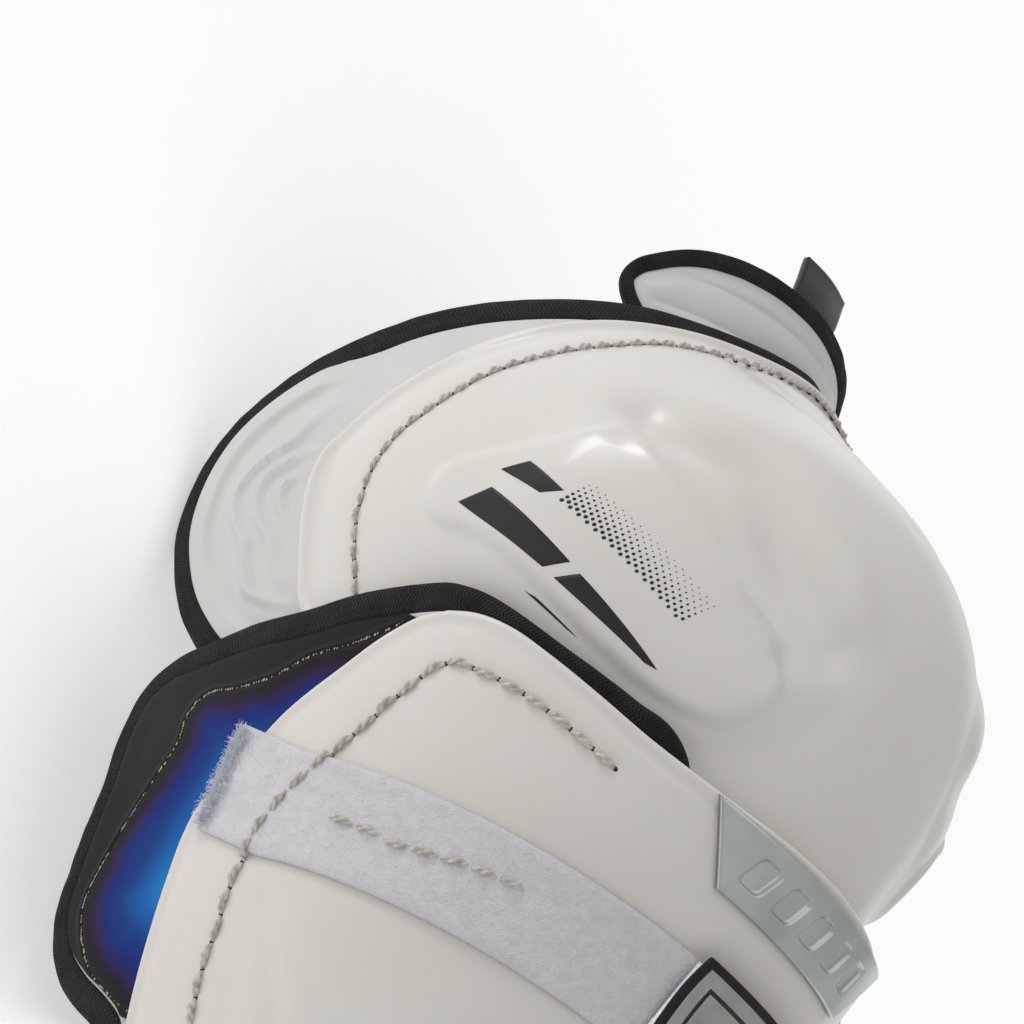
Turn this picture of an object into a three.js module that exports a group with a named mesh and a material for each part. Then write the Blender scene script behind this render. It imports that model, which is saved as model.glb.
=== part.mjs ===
// Shin guard of the ice hockey kind, for an adult's right leg, lying on its back.
// Millimetres. The guard is modelled along its own axes: X across, Y up the shin towards the
// knee, Z to the front, with the origin at the middle of the name plate. The knee part has
// axes of its own, tilted back about X. At the end the whole guard is leaned and lowered so
// that it rests on a floor at Z = 0, front face up.
import * as THREE from 'three';

// Driving sizes of the shin part
const shinHalfWidth = 85;
const shinDepth = 81;
const shinCurl = 0.0035;
const wingReach = 105;
const lowerReach = 213;
const shellWall = 3;
const shellToPad = 1.4;
const padThick = 10;

// Driving sizes of the knee part
const kneeInset = 7.2;
const kneeHalfWidth = shinHalfWidth - kneeInset;
const kneeDepth = 82;
const kneeSetback = 21;
const kneeTilt = THREE.MathUtils.degToRad(25);
const capRise = 141;
const domeHeight = 42;
const capWall = 3;
const capToPad = 1.3;
const padFill = 0.93;
const bossHeight = 2.6;
const kneePadThick = 9;
const flapThick = 7;
const flapFlare = 0.3;

// Edges, bindings and straps
const edgeThick = 2;
const bindingWall = 0.5;
const bindingWidth = 6;
const gap = 0.3;
const bindingSeam = 0.4;
const panelThick = 0.5;
const plateThick = 1.3;
const loopWidth = 25.4;
const loopThick = 1.2;
const strapWidth = 38;
const strapThick = 1.6;
const tabLength = 46;
const tabLap = 4;
const pullTabThick = 1.6;

// Materials, with colours read from the photo
function material(color, roughness, metalness = 0) {
  return new THREE.MeshStandardMaterial({ color, roughness, metalness });
}

const shellPlastic = material(0xeceae6, 0.22);
const padFoam = material(0xdfe1df, 0.55);
const bindingKnit = material(0x1a1a1a, 0.9);
const plateMetal = material(0xc5cbc8, 0.35, 0.8);
const wingFilm = material(0x0a5fae, 0.25);
const loopPile = material(0xe4e4ea, 0.95);
const strapElastic = material(0xc9c9cb, 0.85);
const tabGrey = material(0xa9a8a5, 0.7);
const satinBlack = material(0x222224, 0.5);

// Sections along the shin. at: 0 at the name plate, 1 at the end of the wings, 2 at the end of
// the shell. width is a share of shinHalfWidth, depth and front are shares of shinDepth.
const shinSections = [
  { at: -0.21, width: 1.024, depth: 1.037, front: 0.025 },
  { at: -0.1, width: 1.012, depth: 1.025, front: 0.012 },
  { at: 0, width: 1, depth: 1, front: 0 },
  { at: 0.115, width: 0.988, depth: 0.975, front: -0.015 },
  { at: 0.27, width: 0.965, depth: 0.926, front: -0.08 },
  { at: 0.476, width: 0.941, depth: 0.889, front: -0.099 },
  { at: 0.95, width: 0.871, depth: 0.815, front: -0.108 },
  { at: 1.21, width: 0.79, depth: 0.76, front: -0.108 },
  { at: 1.45, width: 0.72, depth: 0.72, front: -0.108 },
  { at: 1.68, width: 0.665, depth: 0.69, front: -0.108 },
  { at: 1.92, width: 0.63, depth: 0.675, front: -0.105 },
  { at: 2.12, width: 0.615, depth: 0.67, front: -0.1 },
];

// How far the pad's front lies behind the shell's wall, as a share of shinDepth, where the
// shell steps in below its lip.
const padRelief = [
  { at: -0.21, back: 0 },
  { at: 0, back: 0.008 },
  { at: 0.115, back: 0.02 },
  { at: 0.27, back: 0.012 },
  { at: 0.6, back: 0 },
  { at: 2.12, back: 0 },
];

// Sections along the knee. at: 0 level with the name plate, 1 at the top of the cap. width is a
// share of kneeHalfWidth, depth of kneeDepth and front of kneeSetback. dome is the cap's rise
// as a share of domeHeight, side is how fast that rise falls off towards the sides, and curl
// is how much the wings bend inwards, per millimetre squared behind the side.
const kneeSections = [
  { at: -0.115, width: 0.9, depth: 0.951, front: -1, dome: 0.17, side: 3.4, curl: 0.009 },
  { at: 0, width: 0.92, depth: 0.97, front: -1, dome: 0.37, side: 3.4, curl: 0.009 },
  { at: 0.14, width: 0.935, depth: 0.99, front: -1, dome: 0.66, side: 3.2, curl: 0.009 },
  { at: 0.284, width: 0.95, depth: 1, front: -1, dome: 0.89, side: 2.1, curl: 0.008 },
  { at: 0.425, width: 0.975, depth: 1, front: -1, dome: 1, side: 1.4, curl: 0.0055 },
  { at: 0.567, width: 0.997, depth: 0.99, front: -1, dome: 0.96, side: 1.2, curl: 0.0045 },
  { at: 0.709, width: 0.987, depth: 0.976, front: -1, dome: 0.75, side: 1.2, curl: 0.0045 },
  { at: 0.837, width: 0.96, depth: 0.95, front: -1.02, dome: 0.37, side: 1.2, curl: 0.0045 },
  { at: 0.908, width: 0.95, depth: 0.94, front: -1.04, dome: 0.15, side: 1.2, curl: 0.0045 },
  { at: 0.98, width: 0.936, depth: 0.927, front: -1.05, dome: 0, side: 1.2, curl: 0.0045 },
  { at: 1.03, width: 0.933, depth: 0.922, front: -1.06, dome: 0, side: 1.2, curl: 0.0045 },
  { at: 1.35, width: 0.91, depth: 0.89, front: -1.14, dome: 0, side: 1.2, curl: 0.0045 },
];

// Outlines. wrap is the way round the leg: 0 at the front, 1 at the side, more runs straight
// back. at is the place along the shin or the knee, as in the sections above.
const shellSide = [
  { wrap: 0.78, at: 2 },
  { wrap: 0.93, at: 1.975 },
  { wrap: 0.99, at: 1.92 },
  { wrap: 1.03, at: 1.8 },
  { wrap: 1.05, at: 1.68 },
  { wrap: 1.07, at: 1.55 },
  { wrap: 1.1, at: 1.35 },
  { wrap: 1.125, at: 1.15 },
  { wrap: 1.148, at: 0.985 },
  { wrap: 1.178, at: 0.806 },
  { wrap: 1.199, at: 0.675 },
  { wrap: 1.212, at: 0.57 },
  { wrap: 1.209, at: 0.51 },
  { wrap: 1.162, at: 0.42 },
  { wrap: 1.128, at: 0.311 },
  { wrap: 1.101, at: 0.233 },
  { wrap: 1.047, at: 0.115 },
  { wrap: 0.983, at: 0 },
  { wrap: 0.933, at: -0.063 },
  { wrap: 0.893, at: -0.095 },
];
const shellTop = [
  { share: 0, at: -0.105 },
  { share: 0.16, at: -0.098 },
  { share: 0.378, at: -0.084 },
  { share: 0.548, at: -0.086 },
  { share: 0.669, at: -0.101 },
  { share: 0.785, at: -0.116 },
  { share: 0.876, at: -0.124 },
  { share: 0.943, at: -0.116 },
  { share: 1, at: -0.095 },
];
const padSide = [
  { wrap: 0.82, at: 2.03 },
  { wrap: 1.02, at: 2 },
  { wrap: 1.09, at: 1.93 },
  { wrap: 1.11, at: 1.78 },
  { wrap: 1.12, at: 1.6 },
  { wrap: 1.13, at: 1.4 },
  { wrap: 1.15, at: 1.2 },
  { wrap: 1.165, at: 1.06 },
  { wrap: 1.2, at: 0.975 },
  { wrap: 1.27, at: 0.945 },
  { wrap: 1.36, at: 0.92 },
  { wrap: 1.44, at: 0.88 },
  { wrap: 1.49, at: 0.82 },
  { wrap: 1.515, at: 0.7 },
  { wrap: 1.535, at: 0.5 },
  { wrap: 1.552, at: 0.39 },
  { wrap: 1.545, at: 0.31 },
  { wrap: 1.5, at: 0.25 },
  { wrap: 1.42, at: 0.2 },
  { wrap: 1.31, at: 0.13 },
  { wrap: 1.2, at: 0.07 },
  { wrap: 1.09, at: -0.005 },
  { wrap: 1, at: -0.06 },
  { wrap: 0.93, at: -0.1 },
];
const padTop = [
  { share: 0, at: 0.27 },
  { share: 0.2, at: 0.27 },
  { share: 0.31, at: 0.25 },
  { share: 0.37, at: 0.14 },
  { share: 0.43, at: -0.02 },
  { share: 0.49, at: -0.075 },
  { share: 0.56, at: -0.08 },
  { share: 0.66, at: -0.087 },
  { share: 0.77, at: -0.096 },
  { share: 0.87, at: -0.107 },
  { share: 0.94, at: -0.11 },
  { share: 1, at: -0.1 },
];
const capRim = [
  { wrap: 0, at: 1 },
  { wrap: 0.12, at: 0.99 },
  { wrap: 0.266, at: 0.966 },
  { wrap: 0.382, at: 0.948 },
  { wrap: 0.486, at: 0.926 },
  { wrap: 0.582, at: 0.9 },
  { wrap: 0.682, at: 0.86 },
  { wrap: 0.782, at: 0.808 },
  { wrap: 0.875, at: 0.745 },
  { wrap: 0.955, at: 0.689 },
  { wrap: 1.003, at: 0.65 },
  { wrap: 1.031, at: 0.618 },
  { wrap: 1.043, at: 0.57 },
  { wrap: 1.041, at: 0.5 },
  { wrap: 1.028, at: 0.42 },
  { wrap: 1.0, at: 0.32 },
  { wrap: 0.94, at: 0.262 },
  { wrap: 0.84, at: 0.237 },
  { wrap: 0.7, at: 0.212 },
  { wrap: 0.55, at: 0.165 },
  { wrap: 0.42, at: 0.1 },
  { wrap: 0.3, at: 0.042 },
  { wrap: 0.15, at: 0 },
  { wrap: 0, at: -0.02 },
];
const kneePadRim = [
  { wrap: 0, at: 1.035 },
  { wrap: 0.129, at: 1.02 },
  { wrap: 0.25, at: 1.004 },
  { wrap: 0.378, at: 0.991 },
  { wrap: 0.494, at: 0.982 },
  { wrap: 0.6, at: 0.966 },
  { wrap: 0.72, at: 0.943 },
  { wrap: 0.85, at: 0.918 },
  { wrap: 0.983, at: 0.89 },
  { wrap: 1.083, at: 0.861 },
  { wrap: 1.187, at: 0.822 },
  { wrap: 1.263, at: 0.775 },
  { wrap: 1.32, at: 0.72 },
  { wrap: 1.352, at: 0.655 },
  { wrap: 1.366, at: 0.59 },
  { wrap: 1.366, at: 0.52 },
  { wrap: 1.347, at: 0.455 },
  { wrap: 1.315, at: 0.39 },
  { wrap: 1.263, at: 0.325 },
  { wrap: 1.19, at: 0.26 },
  { wrap: 1.08, at: 0.21 },
  { wrap: 0.93, at: 0.165 },
  { wrap: 0.75, at: 0.13 },
  { wrap: 0.55, at: 0.08 },
  { wrap: 0.38, at: 0.02 },
  { wrap: 0.2, at: -0.03 },
  { wrap: 0, at: -0.05 },
];
const flapRim = [
  { wrap: 0, at: 1.158 },
  { wrap: 0.1, at: 1.156 },
  { wrap: 0.212, at: 1.152 },
  { wrap: 0.32, at: 1.143 },
  { wrap: 0.413, at: 1.126 },
  { wrap: 0.485, at: 1.101 },
  { wrap: 0.533, at: 1.077 },
  { wrap: 0.557, at: 1.048 },
  { wrap: 0.55, at: 1.018 },
  { wrap: 0.525, at: 0.985 },
  { wrap: 0.48, at: 0.955 },
  { wrap: 0.41, at: 0.94 },
  { wrap: 0.3, at: 0.935 },
  { wrap: 0.15, at: 0.935 },
  { wrap: 0, at: 0.935 },
];
const panelRim = [
  { wrap: 1.2, at: 0.1 },
  { wrap: 1.36, at: 0.2 },
  { wrap: 1.46, at: 0.26 },
  { wrap: 1.52, at: 0.33 },
  { wrap: 1.525, at: 0.42 },
  { wrap: 1.505, at: 0.6 },
  { wrap: 1.485, at: 0.75 },
  { wrap: 1.44, at: 0.835 },
  { wrap: 1.36, at: 0.875 },
  { wrap: 1.25, at: 0.9 },
  { wrap: 1.14, at: 0.91 },
  { wrap: 1.13, at: 0.75 },
  { wrap: 1.15, at: 0.5 },
  { wrap: 1.08, at: 0.3 },
  { wrap: 1.05, at: 0.17 },
  { wrap: 1.1, at: 0.09 },
];

// A centre for each outline that is drawn as rings
const capHeart = { wrap: 0, at: 0.46 };
const flapHeart = { wrap: 0, at: 1.04 };
const panelHeart = { wrap: 1.3, at: 0.45 };

// The name plate, as a share of the wrap at its long upper and short lower edge
const plateUpperWrap = 0.335;
const plateLowerWrap = 0.24;
const plateTop = -0.076;
const plateBottom = 0.082;

// The boss on the cap's near and far side, bounded above by a groove: its middle and reach
const bossHeart = { wrap: 0.42, at: 0.42 };
const bossReach = { wrap: 0.3, at: 0.3 };

// Bands round the shin: where they run, as places along the shin, and where they end
const upperBand = { near: 0.43, front: 0.33, nearEnd: -1.17, farEnd: 0.72 };
const lowerBand = { near: 1.66, front: 1.6, nearEnd: -0.98, farEnd: 0.72 };
const upperStrap = {
  front: 0.4, rear: 0.93, sewn: 1.11, tip: -0.17, sewnWrap: -1.17, rearWrap: 1.54,
};
const lowerStrap = {
  front: 1.6, rear: 1.66, sewn: 1.7, tip: -0.17, sewnWrap: -1.085, rearWrap: 1.14,
};
const flatStart = -34;
const strapDrop = 12;
const bandStep = 0.08;

// Value of a column at a place in a table, along a smooth curve through its rows
function lookUp(rows, key, column, place) {
  const last = rows.length - 1;
  const rising = rows[last][key] > rows[0][key];
  const row = (index) => rows[rising ? index : last - index];
  const held = THREE.MathUtils.clamp(place, row(0)[key], row(last)[key]);
  let low = 0;
  while (low < last - 1 && held >= row(low + 1)[key]) {
    low += 1;
  }
  const slope = (index) => {
    const before = row(Math.max(index - 1, 0));
    const here = row(index);
    const after = row(Math.min(index + 1, last));
    const back = here[key] - before[key];
    const ahead = after[key] - here[key];
    const backSlope = back > 0 ? (here[column] - before[column]) / back : 0;
    const aheadSlope = ahead > 0 ? (after[column] - here[column]) / ahead : 0;
    return (backSlope * ahead + aheadSlope * back) / (back + ahead);
  };
  const span = row(low + 1)[key] - row(low)[key];
  const share = (held - row(low)[key]) / span;
  const square = share * share;
  const cube = square * share;
  const start = (2 * cube - 3 * square + 1) * row(low)[column];
  const finish = (3 * square - 2 * cube) * row(low + 1)[column];
  const leaving = (cube - 2 * square + share) * span * slope(low);
  const arriving = (cube - square) * span * slope(low + 1);
  return start + finish + leaving + arriving;
}

// Place along the shin in millimetres
function shinHeight(at) {
  return at < 1 ? -at * wingReach : -wingReach - (at - 1) * lowerReach;
}

function shinPlace(height) {
  const past = -height - wingReach;
  return past < 0 ? -height / wingReach : 1 + past / lowerReach;
}

// A quarter of an ellipse to each side, then straight back with a slight curl inwards
function leanSection(wrap, halfWidth, depth, front, curl, off) {
  const turn = Math.min(Math.abs(wrap), 1) * Math.PI / 2;
  const behind = Math.max(Math.abs(wrap) - 1, 0) * depth * Math.PI / 2;
  const across = (halfWidth + off) * Math.sin(turn) - curl * behind * behind;
  const forward = front - depth + (depth + off) * Math.cos(turn) - behind;
  return { across: Math.sign(wrap) * across, forward };
}

// A point on the shin form, off is how far outside the shell's face it lies
function shinPoint(wrap, at, off) {
  const halfWidth = shinHalfWidth * lookUp(shinSections, 'at', 'width', at);
  const depth = shinDepth * lookUp(shinSections, 'at', 'depth', at);
  const front = shinDepth * lookUp(shinSections, 'at', 'front', at);
  const { across, forward } = leanSection(wrap, halfWidth, depth, front, shinCurl, off);
  return new THREE.Vector3(across, shinHeight(at), forward);
}

// The same for the pad, which keeps clear of the shell's step
function padPoint(wrap, at, off) {
  const back = shinDepth * lookUp(padRelief, 'at', 'back', at);
  const point = shinPoint(wrap, at, off);
  point.z -= back * Math.max(Math.cos(Math.min(Math.abs(wrap), 1) * Math.PI / 2), 0);
  return point;
}

// Turns a point of the tilted knee part into the guard's axes
function fromKnee(across, along, forward) {
  const y = along * Math.cos(kneeTilt) + forward * Math.sin(kneeTilt);
  const z = -along * Math.sin(kneeTilt) + forward * Math.cos(kneeTilt);
  return new THREE.Vector3(across, y, z);
}

// The boss stands up smoothly and ends in a groove along its upper edge
function bossRise(wrap, at) {
  const across = (Math.abs(wrap) - bossHeart.wrap) / bossReach.wrap;
  const along = (at - bossHeart.at) / bossReach.at;
  const inside = 1 - across * across - along * along;
  return bossHeight * THREE.MathUtils.smoothstep(inside, 0, 0.5);
}

// A point on the knee form. full is how much of the cap's dome is added to it.
function kneePoint(wrap, at, off, full) {
  const halfWidth = kneeHalfWidth * lookUp(kneeSections, 'at', 'width', at);
  const depth = kneeDepth * lookUp(kneeSections, 'at', 'depth', at);
  const front = kneeSetback * lookUp(kneeSections, 'at', 'front', at);
  const curl = lookUp(kneeSections, 'at', 'curl', at);
  const { across, forward } = leanSection(wrap, halfWidth, depth, front, curl, off);
  const turn = Math.min(Math.abs(wrap), 1) * Math.PI / 2;
  const fall = Math.max(Math.cos(turn), 0) ** lookUp(kneeSections, 'at', 'side', at);
  const dome = domeHeight * lookUp(kneeSections, 'at', 'dome', at);
  const rise = full * fall * (dome + bossRise(wrap, at));
  const sideways = Math.sign(wrap) * rise * Math.sin(turn);
  return fromKnee(across + sideways, at * capRise, forward + rise * Math.cos(turn));
}

// The flap follows the knee form and flares out above the knee pad's upper edge
function flapPoint(wrap, at, off) {
  const above = Math.max(at - kneePadRim[0].at, 0) * capRise;
  const flare = flapFlare * above * above / (above + bindingWidth);
  return kneePoint(wrap, at, off + flare, 0);
}

// Joins two matching grids of points, outer and inner, into one closed solid. A grid is a list
// of rows. Rings are rows that close on themselves, and a first row of one point is a pole.
function closedSheet(outer, inner, ring) {
  const positions = [];
  const triangle = (a, b, c) => {
    for (const point of [a, b, c]) {
      positions.push(point.x, point.y, point.z);
    }
  };
  const quad = (a, b, c, d) => {
    triangle(a, b, c);
    triangle(a, c, d);
  };
  const last = outer.length - 1;
  const wide = outer[last].length;
  const columns = ring ? wide : wide - 1;
  const at = (grid, row, column) => grid[row][grid[row].length === 1 ? 0 : column % wide];
  for (let row = 0; row < last; row += 1) {
    for (let column = 0; column < columns; column += 1) {
      const pole = outer[row].length === 1;
      const corners = (grid) => [
        at(grid, row, column),
        at(grid, row, column + 1),
        at(grid, row + 1, column + 1),
        at(grid, row + 1, column),
      ];
      const [a, b, c, d] = corners(outer);
      const [e, f, g, h] = corners(inner);
      if (pole) {
        triangle(a, c, d);
        triangle(e, h, g);
      } else {
        quad(a, b, c, d);
        quad(e, h, g, f);
      }
    }
  }
  for (let column = 0; column < columns; column += 1) {
    const next = column + 1;
    quad(at(outer, last, column), at(outer, last, next), at(inner, last, next), at(inner, last, column));
    if (!ring) {
      quad(at(outer, 0, next), at(outer, 0, column), at(inner, 0, column), at(inner, 0, next));
    }
  }
  if (!ring) {
    for (let row = 0; row < last; row += 1) {
      const up = row + 1;
      quad(outer[row][0], outer[up][0], inner[up][0], inner[row][0]);
      quad(outer[up][columns], outer[row][columns], inner[row][columns], inner[up][columns]);
    }
  }
  return facingOut(positions);
}

// Makes a geometry of loose triangles, turned so that they face outwards
function facingOut(positions) {
  let volume = 0;
  const a = new THREE.Vector3();
  const b = new THREE.Vector3();
  const c = new THREE.Vector3();
  for (let start = 0; start < positions.length; start += 9) {
    a.fromArray(positions, start);
    b.fromArray(positions, start + 3);
    c.fromArray(positions, start + 6);
    volume += a.dot(b.cross(c));
  }
  if (volume < 0) {
    for (let start = 0; start < positions.length; start += 9) {
      for (let axis = 0; axis < 3; axis += 1) {
        const held = positions[start + 3 + axis];
        positions[start + 3 + axis] = positions[start + 6 + axis];
        positions[start + 6 + axis] = held;
      }
    }
  }
  const geometry = new THREE.BufferGeometry();
  geometry.setAttribute('position', new THREE.Float32BufferAttribute(positions, 3));
  geometry.computeVertexNormals();
  return geometry;
}

// A named mesh from a geometry in the guard's axes
function piece(name, geometry, look) {
  const mesh = new THREE.Mesh(geometry, look);
  mesh.name = name;
  return mesh;
}

// Rows from a side outline, bottom to top, each spread across by the shares of a top outline
function sheetRows(side, top, shares) {
  const foot = shinHeight(side[0].at);
  const corner = side[side.length - 1];
  const reach = shinHeight(corner.at) - foot;
  return side.map((row) => {
    const weight = ((shinHeight(row.at) - foot) / reach) ** 3;
    return shares.map((share) => {
      const dip = lookUp(top, 'share', 'at', Math.abs(share)) - corner.at;
      return { wrap: share * row.wrap, at: row.at + weight * dip };
    });
  });
}

// A list of shares from one edge to the other, from the shares of one half
function bothSides(half) {
  const inner = half.filter((share) => share > 0);
  return [...inner.map((share) => -share).reverse(), 0, ...inner];
}

function evenShares(count) {
  return Array.from({ length: count + 1 }, (unused, index) => index / count);
}

// A closed outline from one half of it, top centre to bottom centre
function wholeLoop(half) {
  const mirrored = half.slice(1, -1).reverse();
  return [...half, ...mirrored.map(({ wrap, at }) => ({ wrap: -wrap, at }))];
}

// Rings from the heart of an outline to its edge
function ringRows(heart, loop, steps) {
  const rows = [[heart]];
  for (const step of steps) {
    const wrap = (point) => heart.wrap + (point.wrap - heart.wrap) * step;
    const at = (point) => heart.at + (point.at - heart.at) * step;
    rows.push(loop.map((point) => ({ wrap: wrap(point), at: at(point) })));
  }
  return rows;
}

function onSurface(rows, surface) {
  return rows.map((row, rowIndex) => row.map((spot, column) => surface(spot, rowIndex, column)));
}

// Which way is inwards at each spot of a closed outline, as steps of wrap and at that are one
// millimetre long. quarter and rise turn wrap and at into millimetres.
function inwardSteps(loop, quarter, rise) {
  const count = loop.length;
  const place = ({ wrap, at }) => new THREE.Vector2(wrap * quarter, at * rise);
  let swept = 0;
  loop.forEach((spot, index) => {
    swept += place(spot).cross(place(loop[(index + 1) % count]));
  });
  return loop.map((spot, index) => {
    const before = place(loop[(index + count - 1) % count]);
    const along = place(loop[(index + 1) % count]).sub(before).normalize();
    const turn = Math.sign(swept);
    return { wrap: -along.y * turn / quarter, at: along.x * turn / rise };
  });
}

function shiftedSpot(spot, step, distance) {
  return { wrap: spot.wrap + step.wrap * distance, at: spot.at + step.at * distance };
}

// The outline moved inwards by a distance
function insetLoop(loop, quarter, rise, distance) {
  const steps = inwardSteps(loop, quarter, rise);
  return loop.map((spot, index) => shiftedSpot(spot, steps[index], distance));
}

// A binding round the edge of a pad: a band that takes up where the pad's own edge ends, a
// little thicker than it. surface gives a point from a wrap, a place and an offset.
function edgeBinding(padEdge, surface, outerOff, quarter, rise) {
  const count = padEdge.length;
  const outerFace = outerOff + bindingWall;
  const innerFace = outerOff - edgeThick - bindingWall;
  const round = (outerFace - innerFace) / 3;
  const section = [
    { outward: bindingSeam, off: outerFace },
    { outward: bindingSeam + bindingWidth - round, off: outerFace },
    { outward: bindingSeam + bindingWidth, off: outerFace - round },
    { outward: bindingSeam + bindingWidth, off: innerFace + round },
    { outward: bindingSeam + bindingWidth - round, off: innerFace },
    { outward: bindingSeam, off: innerFace },
  ];
  const steps = inwardSteps(padEdge, quarter, rise);
  const stations = padEdge.map((spot, index) => section.map(({ outward, off }) => {
    const { wrap, at } = shiftedSpot(spot, steps[index], -outward);
    return surface(wrap, at, off);
  }));
  const positions = [];
  stations.forEach((station, index) => {
    const next = stations[(index + 1) % count];
    station.forEach((corner, side) => {
      const other = (side + 1) % section.length;
      const corners = [corner, station[other], next[other], corner, next[other], next[side]];
      for (const point of corners) {
        positions.push(point.x, point.y, point.z);
      }
    });
  });
  return facingOut(positions);
}

// Offsets of the layers of the guard from the faces of the shell and the cap
const padOff = -shellWall - shellToPad;
const kneePadOff = -capWall - capToPad;
const flapOff = kneePadOff - edgeThick - 2 * bindingWall - 3 * gap;

const sheetColumns = bothSides([0.08, 0.16, 0.24, 0.32, 0.4, 0.48, 0.56, 0.64, 0.72, 0.8, 0.87, 0.93, 1]);
const padColumns = bothSides([0.1, 0.2, 0.31, 0.37, 0.43, 0.49, 0.56, 0.64, 0.72, 0.8, 0.87, 0.94, 1]);
const shinQuarter = shinDepth * Math.PI / 2;
const kneeQuarter = kneeDepth * Math.PI / 2;

function makeShell() {
  const rows = sheetRows(shellSide, shellTop, sheetColumns);
  const face = (off) => onSurface(rows, (spot) => shinPoint(spot.wrap, spot.at, off));
  return piece('shin_shell', closedSheet(face(0), face(-shellWall), false), shellPlastic);
}

// The pad is thin at its bound edge and thickens two rows in, but stays thin behind the cap
function makeShinPad() {
  const rows = sheetRows(padSide, padTop, padColumns);
  const last = rows.length - 1;
  const wide = padColumns.length - 1;
  const face = onSurface(rows, (spot) => padPoint(spot.wrap, spot.at, padOff));
  const back = onSurface(rows, (spot, row, column) => {
    const inset = Math.min(row, last - row, column, wide - column);
    const below = THREE.MathUtils.smoothstep(spot.at, 0.42, 0.6);
    const swell = inset < 2 ? 0 : below * Math.min((inset - 1) / 2, 1);
    return padPoint(spot.wrap, spot.at, padOff - edgeThick - swell * (padThick - edgeThick));
  });
  return piece('shin_pad', closedSheet(face, back, false), padFoam);
}

// The outline of a sheet of rows, once round
function sheetLoop(rows) {
  const last = rows.length - 1;
  const right = rows.slice(0, last).map((row) => row[row.length - 1]);
  const left = rows.slice(1).map((row) => row[0]).reverse();
  const top = rows[last].slice(1).reverse();
  const bottom = rows[0].slice(0, -1);
  return [...right, ...top, ...left, ...bottom];
}

function makeShinPadBinding() {
  const loop = sheetLoop(sheetRows(padSide, padTop, padColumns));
  const geometry = edgeBinding(loop, padPoint, padOff, shinQuarter, -wingReach);
  return piece('shin_pad_binding', geometry, bindingKnit);
}

function makeWingPanel(name, side) {
  const loop = panelRim.map(({ wrap, at }) => ({ wrap: side * wrap, at }));
  const heart = { wrap: side * panelHeart.wrap, at: panelHeart.at };
  const rows = ringRows(heart, loop, [0.35, 0.7, 1]);
  const bottom = padOff + gap * 1.2;
  const face = (off) => onSurface(rows, (spot) => padPoint(spot.wrap, spot.at, off));
  return piece(name, closedSheet(face(bottom + panelThick), face(bottom), true), wingFilm);
}

function makeKneeCap() {
  const rows = ringRows(capHeart, wholeLoop(capRim), [0.2, 0.4, 0.58, 0.74, 0.87, 0.94, 1]);
  const face = (off) => onSurface(rows, (spot) => kneePoint(spot.wrap, spot.at, off, 1));
  return piece('knee_cap', closedSheet(face(0), face(-capWall), true), shellPlastic);
}

// The knee pad's own edge, inside its binding
function kneePadEdge() {
  return insetLoop(wholeLoop(kneePadRim), kneeQuarter, capRise, bindingWidth + bindingSeam);
}

// The knee pad fills the cap's dome and has a hollow for the knee on its inner side
function makeKneePad() {
  const steps = [0.25, 0.45, 0.62, 0.76, 0.88, 1];
  const rows = ringRows(capHeart, kneePadEdge(), steps);
  const face = onSurface(rows, (spot) => kneePoint(spot.wrap, spot.at, kneePadOff, padFill));
  const back = onSurface(rows, (spot, row) => {
    const swell = THREE.MathUtils.clamp((steps.length - 2 - row) / 2, 0, 1);
    const thick = edgeThick + swell * (kneePadThick - edgeThick);
    return kneePoint(spot.wrap, spot.at, kneePadOff - thick, padFill * (1 - 0.3 * swell));
  });
  return piece('knee_pad', closedSheet(face, back, true), padFoam);
}

function makeKneePadBinding() {
  const surface = (wrap, at, off) => kneePoint(wrap, at, off, padFill);
  const geometry = edgeBinding(kneePadEdge(), surface, kneePadOff, kneeQuarter, capRise);
  return piece('knee_pad_binding', geometry, bindingKnit);
}

function flapEdge() {
  return insetLoop(wholeLoop(flapRim), kneeQuarter, capRise, bindingWidth + bindingSeam);
}

function makeThighFlap() {
  const steps = [0.35, 0.7, 0.985];
  const rows = ringRows(flapHeart, flapEdge(), steps);
  const face = onSurface(rows, (spot) => flapPoint(spot.wrap, spot.at, flapOff));
  const back = onSurface(rows, (spot, row) => {
    const thick = row < steps.length - 1 ? flapThick : edgeThick;
    return flapPoint(spot.wrap, spot.at, flapOff - thick);
  });
  return piece('thigh_flap', closedSheet(face, back, true), padFoam);
}

function makeThighFlapBinding() {
  const geometry = edgeBinding(flapEdge(), flapPoint, flapOff, kneeQuarter, capRise);
  return piece('thigh_flap_binding', geometry, bindingKnit);
}

function makePullTab() {
  const outer = flapOff - edgeThick - bindingWall - 2 * gap;
  const rows = [1.135, 1.16, 1.2, 1.235].map((at) => (
    [-0.1, -0.05, 0, 0.05, 0.1].map((wrap) => ({ wrap, at }))
  ));
  const face = (off) => onSurface(rows, (spot) => flapPoint(spot.wrap, spot.at, off));
  return piece('pull_tab', closedSheet(face(outer), face(outer - pullTabThick), false), satinBlack);
}

function makeNamePlate() {
  const rows = evenShares(4).map((share) => {
    const halfWrap = THREE.MathUtils.lerp(plateLowerWrap, plateUpperWrap, share);
    const at = THREE.MathUtils.lerp(plateBottom, plateTop, share);
    return bothSides(evenShares(5)).map((across) => ({ wrap: across * halfWrap, at }));
  });
  const lift = gap + shellWall * 0.05;
  const face = (off) => onSurface(rows, (spot) => shinPoint(spot.wrap, spot.at, off));
  return piece('name_plate', closedSheet(face(lift + plateThick), face(lift), false), plateMetal);
}

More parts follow.
